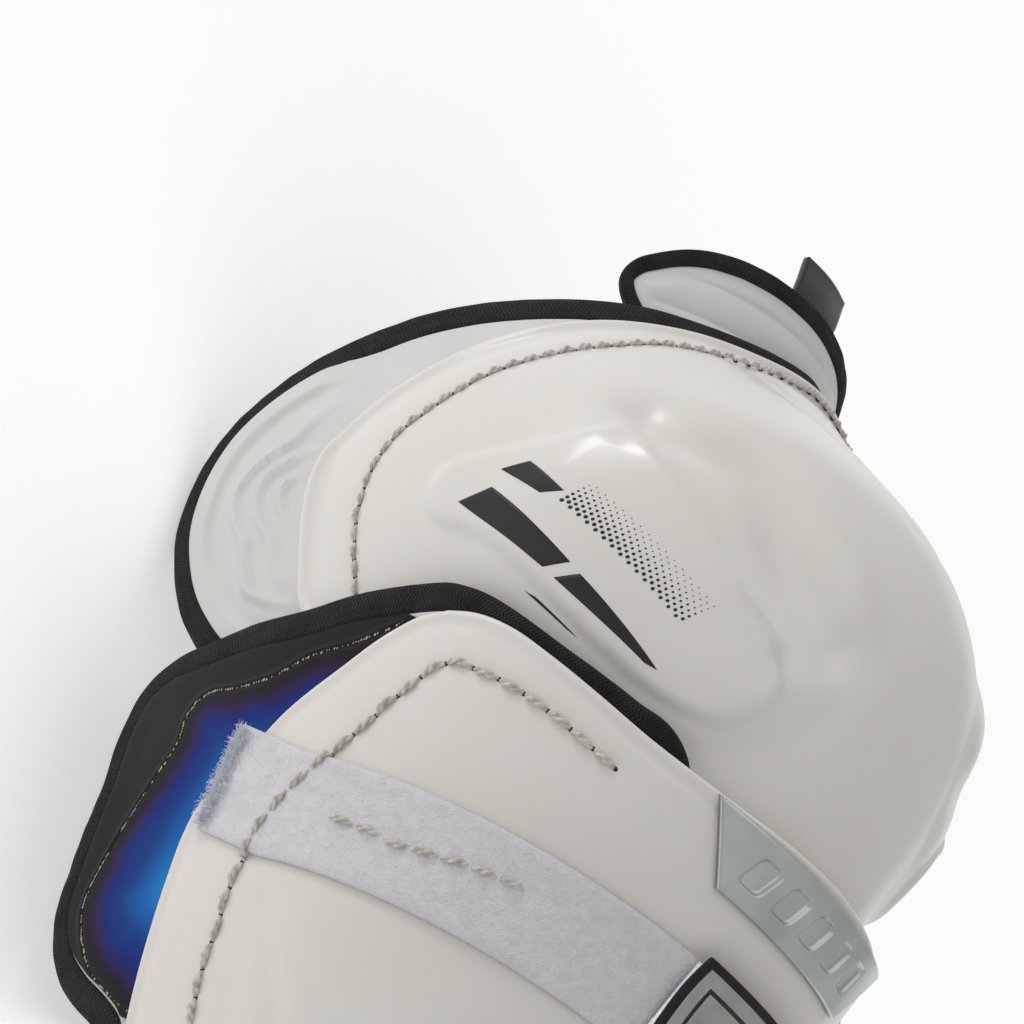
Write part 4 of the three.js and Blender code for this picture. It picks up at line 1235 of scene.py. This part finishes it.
    def wing_relief(self, wrap: Array, edge: Array, run: Array) -> Array:
        """The wings' moulding: a raised rim by the binding and kinked ribs inside a shallow well.

        Args:
            wrap: the places' wraps.
            edge: their distances in mm from the pad's edge.
            run: mm along the edge.

        Returns:
            mm outwards: a step at the rim, and ribs exp(-x^4) along a zigzag of the run.
        """
        rim = 1.3 * (1 - smoothstep(4.6, 6.4, edge)) - 0.35 * bump(edge, 7.4, 1.3)
        side = smoothstep(0.93, 1.0, np.abs(wrap))
        kink = self.rib_zigzag * (np.abs((run / self.rib_repeat) % 1 - 0.5) * 2 - 0.5)
        ribs = np.zeros_like(edge)
        for index in range(1, 4):
            centre = 7.5 + self.rib_gap * index + kink
            ribs += np.exp(-((np.abs(edge - centre) / self.rib_half) ** 4))
        return rim + self.rib_high * ribs * side

    def build_pad(self) -> None:
        """The knee pad: moulded wings outside, a quilted hollow for the knee inside."""
        loop = self.pad_edge(KNEE_PAD_RIM)
        wrap, at = rings(self.cap_heart, loop, 112, 0.8)
        points = KNEE.point(wrap, at, KNEE_PAD_OFF, self.pad_fill)
        edge = distance_to(points, points[-1])
        run = np.cumsum(np.linalg.norm(np.diff(points[-1], axis=0, append=points[-1][:1]), axis=1))
        relief = self.wing_relief(wrap, edge, run[None])
        outside = smoothstep(0.0, 0.06, np.maximum(np.abs(wrap) - 1.06, 0.3 * np.abs(wrap) - 0.3))
        outer = KNEE.point(wrap, at, KNEE_PAD_OFF + relief * outside, self.pad_fill)
        swell = smoothstep(2, 20, edge)
        quilt = sum(bump(edge, 14 + 16 * k, 1.6) for k in range(5)) + bump(np.abs(wrap), 0.0, 0.02)
        thick = EDGE + swell * (self.pad_thick - EDGE) - 1.4 * quilt * swell
        full = self.pad_fill * (1 - 0.3 * swell.mean(axis=1, keepdims=True))
        inner = KNEE.point(wrap, at, KNEE_PAD_OFF - thick, full)
        mesh = Mesh("knee_foam")
        mesh.sheet(outer, inner, True)
        mesh.line_back(outer, True)
        mesh.build([FOAM, LINING], "knee_pad", Slot.FOAM)
        skin = lambda u, v, off: KNEE.point(u, v, off, self.pad_fill)
        EdgeBand("knee_edge", "knee_pad_binding", skin, KNEE.scale, KNEE_PAD_OFF, BINDING).build(loop)

    def build_flap(self) -> None:
        """The thigh flap: soft foam with waves that run round it, bound in a fine tape."""
        loop = self.pad_edge(FLAP_RIM, self.flap_band)
        wrap, at = rings(self.flap_heart, loop, 66, 0.8)
        base = KNEE.flap_point(wrap, at, FLAP_OFF)
        edge = distance_to(base, base[-1])
        sweep = (at - 1.03) * KNEE.rise - 9 * wrap
        waves = 1.1 * np.abs(np.sin(np.pi * sweep / 9.0 + 1.5 * wrap)) ** 0.8 * smoothstep(2, 6, edge) - 0.4
        waves -= 1.2 * bump(np.abs(wrap - 0.33) * 127 - 0.25 * sweep, 0, 2.2) * smoothstep(2, 6, edge)
        outer = KNEE.flap_point(wrap, at, FLAP_OFF + 0.25 + waves - 0.6 * rounded_edge(edge, 2.0))
        thick = EDGE + smoothstep(1, 12, edge) * (self.flap_thick - EDGE)
        inner = KNEE.flap_point(wrap, at, FLAP_OFF - thick)
        mesh = Mesh("flap_foam")
        mesh.sheet(outer, inner, True)
        mesh.build([FOAM], "thigh_flap", Slot.FOAM)
        EdgeBand(
            "flap_edge", "thigh_flap_binding", KNEE.flap_point, KNEE.scale, FLAP_OFF, BINDING_FINE, 0.8,
            self.flap_band, 700,
        ).build(loop)

    def build_pull_tab(self) -> None:
        """A folded satin tape behind the flap's top edge, its free loop bowed outwards."""
        s, t = np.meshgrid(np.linspace(0, 1, 60), np.linspace(-1, 1, 20), indexing="ij")
        at = 1.135 + 0.1 * s
        bow = 1.6 * np.sin(np.pi * s) ** 2 + 0.3 * np.cos(np.pi * t)
        base = FLAP_OFF - EDGE - 1.1
        outer = KNEE.flap_point(0.1 * t, at, base + bow * 0.4)
        inner = KNEE.flap_point(0.1 * t, at, base - 1.6 + bow * 0.3)
        mesh = Mesh("satin_pull")
        mesh.sheet(outer, inner, False)
        mesh.build([SATIN], "pull_tab", Slot.SATIN)

    def build(self) -> None:
        """Builds the knee part's pieces in order."""
        self.build_cap()
        self.build_seam()
        self.build_graphic()
        self.build_pad()
        self.build_flap()
        self.build_pull_tab()


@dataclass
class ShinPart:
    """The shin part: hard shell with its plate and stitches, bound pad and film wings."""

    wall: float = WALL
    pad_thick: float = 10.0
    panel_thick: float = 0.5
    panel_inset: float = 1.35
    plate_thick: float = 1.3
    slot_step: float = 11.5
    slot_slant: float = 0.35
    slot_deep: float = 0.95
    quilt_step: float = 26.0
    plate_wraps: tuple[float, float] = (0.24, 0.335)
    plate_ats: tuple[float, float] = (0.082, -0.076)
    weld: Sequence[Sequence[float]] = (
        (0.99, -0.03), (1.07, 0.05), (1.154, 0.112), (1.207, 0.175), (1.28, 0.226), (1.372, 0.274),
        (1.388, 0.327),
        (1.376, 0.378), (1.385, 0.424), (1.407, 0.504), (1.431, 0.606), (1.444, 0.691), (1.449, 0.732),
        (1.444, 0.789),
        (1.412, 0.84), (1.338, 0.905), (1.25, 0.935), (1.1, 0.96),
    )

    def build_shell(self) -> None:
        """The shell: a sheet between its side outlines with a fine bead round the edge."""
        wrap, at = sheet_grid(SHELL_SIDE, SHELL_TOP, 220, 222)
        points = SHIN.point(wrap, at)
        loop = around(wrap, at)
        edge = distance_to(points, SHIN.point(loop[:, 0], loop[:, 1]))
        seam = self.seam_line()
        channel = distance_to(points, SHIN.point(seam[:, 0], seam[:, 1])[::3])
        relief = 0.3 * bump(edge, 1.2, 0.9) - 0.22 * bump(edge, 3.4, 1.3) - 0.3 * bump(channel, 0, 2.2)
        for crease, deep, wide in self.creases():
            for side in Side:
                path = SHIN.point(crease[:, 0] * side.value, crease[:, 1])
                relief -= deep * bump(distance_to(points, path), 0, wide)
        relief -= rounded_edge(edge, 1.2)
        inner = SHIN.point(wrap, at, -self.wall + 0.9 * rounded_edge(edge, 1.0))
        mesh = Mesh("shin_moulding")
        mesh.sheet(SHIN.point(wrap, at, relief), inner, False)
        mesh.build([SHELL], "shin_shell", Slot.SHELL)

    @staticmethod
    def creases() -> list[tuple[Array, float, float]]:
        """Moulded rays on the shell's flank as (line, depth in mm, half width in mm)."""
        sharp = np.array([(0.91, 0.645), (0.801, 0.699), (0.678, 0.767), (0.5, 0.88)])
        soft = np.array([(0.935, 0.63), (0.865, 0.73), (0.791, 0.835), (0.68, 1.02)])
        wide = np.array([(0.96, 0.64), (0.93, 0.75), (0.89, 0.9), (0.84, 1.1)])
        even = lambda line: evened(line, 80, SHIN.scale, False, 3.0)
        return [
            (even(sharp), 0.5, 1.5), (even(soft), 0.45, 2.8), (even(wide), 0.35, 3.6),
            (even(sharp) - [0.06, 0], -0.4, 4.0),
        ]

    def seam_line(self) -> Array:
        """The shell's stitches, from the near wing's end up and round its top corner."""
        line = np.stack([SHELL_STITCH[:, 0], SHIN.place(SHELL_STITCH[:, 1])], axis=1)
        return evened(line, 900, SHIN.scale, False, 3.0)

    def build_seam(self) -> None:
        """The shell's stitches on both sides."""
        mesh = Mesh("shell_stitches")
        line = self.seam_line()
        surface = lambda wrap, at, off: SHIN.point(wrap, at, off - 0.3 + self.over_strip(wrap, at))
        for side in Side:
            Seam(surface, 6.3, 1.05, 1.0, 1.3).add_to(mesh, line * np.array([-side.value, 1]))
        top = lambda wrap, at, off: SHIN.point(wrap, at, off + 1.45)
        row = np.array([(-0.885, 0.41), (-0.778, 0.393), (-0.678, 0.372), (-0.604, 0.347), (-0.5, 0.322)])
        Seam(top, 6.3, 1.0, 0.9, 1.3).add_to(mesh, evened(row, 200, SHIN.scale, False, 3.0))
        mesh.build([THREAD, HOLE], None, Slot.SHELL)

    @staticmethod
    def over_strip(wrap: Array, at: Array) -> Array:
        """How much higher the thread lies where it crosses the upper loop strip."""
        middle = SHIN.height(0.33 + 0.1 * np.minimum(wrap**2, 1))
        over = 1 - smoothstep(12.0, 14.0, np.abs(SHIN.height(at) - middle))
        return np.where(wrap < 0.72, 1.7 * over, 0)

    def build_plate(self) -> None:
        """The name plate: a bent trapezium with a bevelled edge and five slanted recesses."""
        s, t = np.meshgrid(crowded(80, 0.8), crowded(200, 0.8) * 2 - 1, indexing="ij")
        half = self.plate_wraps[0] + (self.plate_wraps[1] - self.plate_wraps[0]) * s
        wrap = t * half
        at = self.plate_ats[0] + (self.plate_ats[1] - self.plate_ats[0]) * s
        base = SHIN.point(wrap, at, CLEAR)
        loop = around(wrap, at)
        edge = distance_to(base, SHIN.point(loop[:, 0], loop[:, 1], CLEAR))
        x = wrap * SHIN.scale[0]
        y = SHIN.height(at)
        cut = np.zeros_like(x)
        for index in range(5):
            across = x - (index - 2) * self.slot_step - (y - 0.2) * self.slot_slant
            inside = ((np.abs(across) / 3.6) ** 5 + (np.abs(y + 0.2) / 4.2) ** 5) ** 0.2
            cut += 1 - smoothstep(0.84, 1.06, inside)
        top = CLEAR + self.plate_thick - self.slot_deep * cut - 0.5 * rounded_edge(edge, 0.9)
        mesh = Mesh("plate_moulding")
        mesh.sheet(SHIN.point(wrap, at, top), base, False)
        mesh.build([PLATE], "name_plate", Slot.PLATE)

    def build_pad(self) -> None:
        """The shin pad: thin at its bound edge, thicker below the knee, lined on the leg side."""
        wrap, at = sheet_grid(PAD_SIDE, PAD_TOP, 230, 210)
        loop = around(wrap, at)
        outer = SHIN.pad_point(wrap, at, PAD_OFF)
        edge = distance_to(outer, SHIN.pad_point(loop[:, 0], loop[:, 1], PAD_OFF))
        swell = smoothstep(0.42, 0.6, at) * smoothstep(4, 26, edge)
        quilt = bump(SHIN.height(at) % self.quilt_step, self.quilt_step / 2, 1.5) * smoothstep(6, 14, edge)
        thick = EDGE + swell * (self.pad_thick - EDGE) - 1.5 * quilt * swell
        inner = SHIN.pad_point(wrap, at, PAD_OFF - thick)
        mesh = Mesh("shin_foam")
        mesh.sheet(outer, inner, False)
        mesh.line_back(outer, False)
        mesh.build([FOAM, LINING], "shin_pad", Slot.FOAM)
        EdgeBand(
            "shin_edge", "shin_pad_binding", SHIN.pad_point, SHIN.scale, PAD_OFF, BINDING, count=1500
        ).build(loop)

    def build_wing(self, side: Side) -> None:
        """A wing's cover from under the shell's edge out to the binding, with its welded seam.

        Args:
            side: the side of the leg. Rows run down the shin, from wrap under the shell's edge
                to wrap at the binding, and film is the distance from the weld, above 0 inside it.
        """
        run = np.linspace(-0.055, 0.962, 260)
        edge = evened(PAD_SIDE, 1500, SHIN.scale, False, 2.0)
        step = inward(np.vstack([edge, [[0, edge[-1, 1]], [0, edge[0, 1]]]]), SHIN.scale)[:-2]
        line = edge + step * self.panel_inset
        line = line[(line[:, 1] < 1.0) & (line[:, 1] > -0.09)]
        shell = evened(SHELL_SIDE, 1500, SHIN.scale, False, 2.0)
        outer_wrap, shell_wrap = (
            np.interp(run, *rows[np.argsort(rows[:, 1])].T[::-1]) for rows in (line, shell)
        )
        inner_wrap = np.minimum(shell_wrap - 0.05, outer_wrap - 0.01)
        share = crowded(100, 0.7)
        wrap = inner_wrap[:, None] + (outer_wrap - inner_wrap)[:, None] * share
        at = run[:, None] + 0 * wrap
        bottom = PAD_OFF + 0.36
        points = SHIN.pad_point(wrap, at, bottom)
        border = distance_to(points, points[:, -1])
        weld = evened(np.array(self.weld), 600, SHIN.scale, False, 3.0)
        within = np.where(np.interp(at, weld[:, 1], weld[:, 0]) > wrap, 1, -1)
        film = distance_to(points, SHIN.pad_point(weld[:, 0], weld[:, 1], bottom)) * within
        welt = 0.22 * bump(film, -0.6, 0.7) - 0.18 * bump(film, 0.3, 0.5) + 0.3 * smoothstep(8, 0, border)
        top = bottom + self.panel_thick + welt + 0.08 * ripple(points, 22, 8)
        skin = lambda u, v, off: SHIN.pad_point(side.value * u, v, off)
        mesh = Mesh(f"wing_cover_{side.name.lower()}")
        mesh.sheet(skin(wrap, at, top), skin(wrap, at, bottom + 0 * wrap), False, {"film": film})
        mesh.build([FILM], f"wing_panel_{side.name.lower()}", Slot.FILM)
        self.build_weld(side, wrap, at, film, top)

    def build_weld(self, side: Side, wrap: Array, at: Array, film: Array, top: Array) -> None:
        """The weld's fine light dots, one about each 1.3 mm along the line where film is 0.

        Args:
            side: the side of the leg.
            wrap: the cover's wraps.
            at: the cover's ats.
            film: the distance from the weld in mm.
            top: how far outside the form the cover's face lies.
        """
        nearest = np.argmin(np.abs(film), axis=1)
        rows = np.arange(len(nearest))
        good = (np.abs(film[rows, nearest]) < 0.8) & (nearest > 2) & (nearest < wrap.shape[1] - 3)
        place = rows[good], nearest[good]
        line = evened(np.stack([wrap[place], at[place]], axis=1), 220, SHIN.scale, False, 2.0)
        rng = np.random.default_rng(5)
        line = line[rng.uniform(size=len(line)) > 0.3]
        size = rng.uniform(0.1, 0.26, len(line))[:, None]
        turn = np.linspace(0, 2 * np.pi, 6, endpoint=False)
        high = np.interp(line[:, 1], at[:, 0], top[rows, nearest])[:, None]
        layers = []
        for part, lift in ((0.05, 0.1), (1.0, 0.03), (1.0, -0.2), (0.05, -0.2)):
            u = line[:, :1] + part * size * np.cos(turn) / SHIN.scale[0]
            v = line[:, 1:] + part * size * np.sin(turn) * 2.2 / SHIN.scale[1]
            layers.append(SHIN.pad_point(side.value * u, v, high + lift))
        mesh = Mesh(f"wing_weld_{side.name.lower()}")
        mesh.add(np.stack(layers, axis=1), tubes(len(line), 4, 6))
        mesh.build([THREAD], None, Slot.FILM)

    def build(self) -> None:
        """Builds the shin part's pieces in order."""
        self.build_shell()
        self.build_seam()
        self.build_plate()
        self.build_pad()
        for side in Side:
            self.build_wing(side)


@dataclass
class Band:
    """One strap with the loop strip that it closes on and its hook tab."""

    name: str
    near: float
    front: float
    near_end: float
    far_end: float
    strap_front: float
    strap_rear: float
    sewn: float
    sewn_wrap: float
    rear_wrap: float
    tip: float = -0.17
    loop_wide: float = 25.4
    loop_thick: float = 1.2
    strap_wide: float = 38.0
    strap_thick: float = 1.6
    tab_long: float = 46.0
    tab_lap: float = 4.0
    over_seam: float = 2.4

    def strip_at(self, wrap: Array, share: Array) -> Array:
        """The place along the shin of a share, -1 to 1, across the loop strip at a wrap."""
        middle = self.front + (self.near - self.front) * np.minimum(wrap**2, 1)
        return SHIN.place(SHIN.height(middle) + share * self.loop_wide / 2)

    def build_loop(self) -> None:
        """The loop strip: woven edges and a raised, tufted pile between them."""
        s, t = np.meshgrid(np.linspace(0, 1, 420), np.linspace(-1, 1, 40), indexing="ij")
        wrap = self.near_end + (self.far_end - self.near_end) * s
        at = self.strip_at(wrap, t)
        base = SHIN.point(wrap, at)
        tufts = 0.55 + 0.08 * ripple(base, 2.2, 2) + 0.1 * ripple(base, 1.1, 4)
        outer = SHIN.point(wrap, at, self.loop_thick + smoothstep(1.0, 0.88, np.abs(t)) * tufts)
        mesh = Mesh(f"loop_pile_{self.name}")
        mesh.sheet(outer, SHIN.point(wrap, at, CLEAR), False)
        self.add_fibres(mesh, CLEAR + self.loop_thick)
        mesh.build([PILE, FIBRE], f"loop_strip_{self.name}", Slot.LOOP)

    def add_fibres(self, mesh: Mesh, high: float) -> None:
        """Loose curled fibres, most at the strip's near end: thin four-sided hairs that arch over.

        Args:
            mesh: the mesh that gathers them.
            high: how far outside the form the pile's tips lie.

        A fibre's line is root + long * (0.8 sin(2.2 bend t) up + 0.7 (1 - cos(2 bend t)) way).
        """
        rng = np.random.default_rng(11)
        count = 4600
        end = rng.uniform(size=count) < 0.42
        by_end = self.near_end + np.abs(rng.normal(0, 0.014, count))
        wrap = np.where(end, by_end, rng.uniform(self.near_end, self.far_end, count))
        at = self.strip_at(wrap, rng.uniform(-0.93, 0.93, count))
        root = SHIN.point(wrap, at, high - 0.3)
        up = outward_of(SHIN.point, wrap, at)
        way = rng.normal(size=(count, 3))
        way -= (way * up).sum(axis=1)[:, None] * up
        way /= np.linalg.norm(way, axis=1)[:, None]
        long = np.where(end, rng.uniform(0.8, 2.5, count), rng.uniform(0.35, 0.9, count))[:, None, None]
        t = np.linspace(0, 1, 4)[None, :, None]
        bend = rng.uniform(0.4, 1.3, count)[:, None, None]
        climb = np.sin(t * 2.2 * bend) * up[:, None] * 0.8
        spine = root[:, None] + long * (climb + (1 - np.cos(t * 2 * bend)) * way[:, None] * 0.7)
        ahead = np.gradient(spine, axis=1)
        ahead /= np.linalg.norm(ahead, axis=-1)[..., None]
        aside = np.cross(up, way)[:, None] + 0 * spine
        turn = np.linspace(0, 2 * np.pi, 4, endpoint=False)[:, None]
        thin = 0.07 * (1 - 0.5 * t)[..., None]
        square = np.cross(ahead, aside)
        spoke = aside[:, :, None] * np.cos(turn) + square[:, :, None] * np.sin(turn)
        mesh.add(spine[:, :, None] + thin * spoke, tubes(count, 4, 4), slot=1)

    def strap_lines(self) -> Array:
        """The strap's two edges and middle: sewn, down to the floor, flat, round and over."""
        asides = np.array([-0.5, 0, 0.5]) * self.strap_wide
        half = self.strap_thick / 2
        stations = []
        for past in (0, 0.05, 0.1):
            stations.append(self.on_form(self.sewn_wrap - past, self.sewn, PAD_OFF + 1.1 + half, asides))
        turn = SHIN.point(np.array(self.rear_wrap), np.array(self.strap_rear), 0.9 + half)
        for share in np.linspace(0, 1, 6):
            across = -34 + (float(turn[0]) - 12 + 34) * share
            at = self.sewn + (self.strap_rear - self.sewn) * (0.2 + 0.8 * share)
            stations.append(self.on_floor(across, float(SHIN.height(at)), asides, half))
        count = math.ceil((self.rear_wrap - self.tip) / 0.08)
        for share in np.linspace(0, 1, count + 1):
            wrap = self.rear_wrap + (self.tip - self.rear_wrap) * share
            climb = float(smoothstep(0.3, self.rear_wrap, wrap))
            at = self.strap_front + (self.strap_rear - self.strap_front) * climb
            lift = float(smoothstep(0.75, 0.95, wrap))
            off = half + self.over_seam + (CLEAR * 2 - self.over_seam) * lift
            stations.append(self.on_form(wrap, at, off, asides))
        return np.array(stations)

    @staticmethod
    def on_form(wrap: float, at: float, off: float, asides: Array) -> Array:
        """Points on the shin form at distances aside along the shin."""
        place = SHIN.place(SHIN.height(at) + asides)
        return SHIN.point(np.full(3, wrap), place, off)

    @staticmethod
    def on_floor(across: float, height: float, asides: Array, up: float) -> Array:
        """Points above the floor, in the guard's axes, at distances aside along it."""
        c, s = math.cos(REST.lean), math.sin(REST.lean)
        level = -REST.place[2]
        along = height / c - level * s / c + asides
        level += up
        return np.stack([np.full(3, across), along * c + level * s, level * c - along * s], axis=-1)

    def build_strap(self) -> None:
        """The elastic: its lines taken again evenly, given its thickness and rounded edges."""
        lines = self.strap_lines()
        dense = spread(lines.reshape(len(lines), 9), 420).reshape(-1, 3, 3)
        t = np.linspace(-1, 1, 25)
        left = dense[:, 1:2] + (dense[:, 0:1] - dense[:, 1:2]) * np.maximum(-t, 0)[None, :, None]
        grid = left + (dense[:, 2:3] - dense[:, 1:2]) * np.maximum(t, 0)[None, :, None]
        normal = grid_normals(grid)
        thick = self.strap_thick / 2 * (1 - 0.45 * np.abs(t) ** 10)[None, :, None]
        run = run_along(dense[:, 1])
        marks = {"run": run[:, None] + 0 * t, "over": (t * self.strap_wide / 2)[None] + 0 * run[:, None]}
        mesh = Mesh(f"elastic_{self.name}")
        mesh.sheet(grid + normal * thick, grid - normal * thick, False, marks)
        mesh.build([ELASTIC], f"calf_strap_{self.name}", Slot.ELASTIC, ("run", "over"))

    def build_tab(self) -> None:
        """The hook tab: coated cloth with a sewn line, over a wider black hook patch."""
        s, t = np.meshgrid(crowded(80, 0.7), crowded(80, 0.7) * 2 - 1, indexing="ij")
        half = (self.strap_wide + self.tab_lap) / 2
        wrap = self.tip + s * self.tab_long / SHIN.scale[0]
        at = SHIN.place(SHIN.height(self.strap_front) + t * half)
        low = 1.5 + self.loop_thick + self.strap_thick
        edge = np.minimum(np.minimum(s, 1 - s) * self.tab_long, (1 - np.abs(t)) * half)
        top = low + self.strap_thick - 0.55 * (1 - smoothstep(1.6, 2.0, edge)) - 0.18 * bump(edge, 5.6, 0.5)
        mesh = Mesh(f"tab_{self.name}")
        mesh.sheet(SHIN.point(wrap, at, top), SHIN.point(wrap, at, low + 0 * wrap), False)
        front = (s.shape[0] - 1) * (s.shape[1] - 1)
        middle = np.concatenate([edge.reshape(-1)] * 2)[mesh.quads[0]].mean(axis=1)
        faces = np.where(middle < 1.9, 1, np.where(np.abs(middle - 5.6) < 0.42, 2, 0))
        faces[front:] = 1
        mesh.slots = [faces]
        mesh.build([TAB, HOOK, THREAD_BLACK], f"hook_tab_{self.name}", Slot.TAB)

    def build(self) -> None:
        """Builds the band's pieces in order."""
        self.build_loop()
        self.build_strap()
        self.build_tab()


def spread(rows: Array, count: int) -> Array:
    """Rows of three points taken again evenly, by the middle one, along smooth cubics."""
    run = run_along(rows[:, 3:6])
    places = np.linspace(0, run[-1], count)
    return np.stack([Track(run, column, 3.0)(places) for column in rows.T], axis=1)


@dataclass
class Studio:
    """A pale floor, soft lights and the camera, seen from above the guard's near side."""

    across: float = 40.0
    below: float = -13.5
    roll: float = 34.0
    away: float = 1500.0
    pixel: float = 0.222
    origin: tuple[float, float] = (813.0, 931.0)
    pixels: int = 1024

    @staticmethod
    def put(name: str, data: Any, columns_: Array, spot: Array) -> Any:
        """Adds an object whose own axes are the columns, at a spot in metres."""
        thing = bpy.data.objects.new(name, data)
        rows = np.vstack([np.column_stack([columns_, spot]), [0, 0, 0, 1]])
        thing.matrix_world = Matrix(rows.tolist())
        bpy.context.scene.collection.objects.link(thing)
        return thing

    def axes(self) -> tuple[Array, Array, Array]:
        """The camera's right, up and backward directions in the guard's axes."""
        a, b, r = (math.radians(v) for v in (self.across, self.below, self.roll))
        right = np.array([math.sin(a), 0, math.cos(a)])
        up = np.array([math.sin(b) * math.cos(a), math.cos(b), -math.sin(b) * math.sin(a)])
        back = np.array([-math.cos(a) * math.cos(b), math.sin(b), math.sin(a) * math.cos(b)])
        return math.cos(r) * right + math.sin(r) * up, -math.sin(r) * right + math.cos(r) * up, back

    def build_camera(self) -> None:
        """Places the camera so that the plate's middle falls on its pixel of the picture."""
        right, up, back = self.axes()
        half = self.pixels / 2
        x, y = (self.origin[0] - half) * self.pixel, (self.origin[1] - half) * self.pixel
        spot = REST.to_world(self.away * back - x * right + y * up)
        camera = bpy.data.cameras.new("camera")
        camera.sensor_width = 36
        camera.lens = 36 * self.away / self.pixel / self.pixels
        camera.clip_end = 30
        turned = REST.turn() @ np.stack([right, up, back], axis=1)
        bpy.context.scene.camera = self.put("camera", camera, turned, spot)

    def build_light(self, name: str, way: Array, power: float, size: float) -> None:
        """A soft square light.

        Args:
            name: the light's name.
            way: where it stands, in the camera's right, up and backward directions, in metres.
            power: its power in watts.
            size: the length of its side in metres.
        """
        aim = np.array([0, 0.05, 0.08])
        basis = np.stack([REST.turn() @ axis for axis in self.axes()], axis=0)
        data = bpy.data.lights.new(name, "AREA")
        data.energy = power
        data.size = size
        back = way @ basis
        spot = aim + back
        back /= np.linalg.norm(back)
        side = np.cross(np.array([0.0, 1.0, 0.1]), back)
        side /= np.linalg.norm(side)
        self.put(name, data, np.stack([side, np.cross(back, side), back], axis=1), spot)

    def build_floor(self) -> None:
        """A wide pale floor that falls away to white."""
        data = bpy.data.meshes.new("floor")
        corners = [(-8, -8, 0), (8, -8, 0), (8, 8, 0), (-8, 8, 0)]
        data.from_pydata(corners, [], [(0, 1, 2, 3)])
        floor = bpy.data.objects.new("floor", data)
        bpy.context.scene.collection.objects.link(floor)
        paper = bpy.data.materials.new("white studio paper")
        paper.use_nodes = True
        shader = paper.node_tree.nodes["Principled BSDF"]
        set_inputs(shader, {
            "Base Color": linear("#FAFAFA"), "Roughness": 0.9, "Specular IOR Level": 0.1,
            "Emission Color": (1, 1, 1, 1), "Emission Strength": 0.42,
        })
        data.materials.append(paper)

    def build_sky(self) -> None:
        """An even white surround."""
        world = bpy.data.worlds.new("studio")
        bpy.context.scene.world = world
        world.use_nodes = True
        set_inputs(world.node_tree.nodes["Background"], {"Color": (1, 1, 1, 1), "Strength": 0.5})

    def build(self) -> None:
        """Builds the studio."""
        self.build_camera()
        self.build_floor()
        self.build_sky()
        self.build_light("key", np.array([-0.5, 1.9, 0.35]), 40.0, 0.9)
        self.build_light("fill", np.array([1.5, 0.5, 0.9]), 3.0, 1.6)
        self.build_light("front", np.array([-1.3, 0.5, 1.2]), 3.5, 0.8)
        bpy.context.scene.view_settings.view_transform = "Standard"


def main() -> None:
    """Builds the guard in order and reports each piece."""
    logging.basicConfig(level=logging.INFO, format="%(message)s")
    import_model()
    Studio().build()
    parts = [
        KneePart(),
        ShinPart(),
        Band("upper", 0.43, 0.33, -1.17, 0.72, 0.4, 0.93, 1.11, -1.17, 1.54),
        Band("lower", 1.66, 1.6, -0.98, 0.72, 1.6, 1.66, 1.7, -1.085, 1.14),
    ]
    for part in parts:
        part.build()


if __name__ == "__main__":
    main()
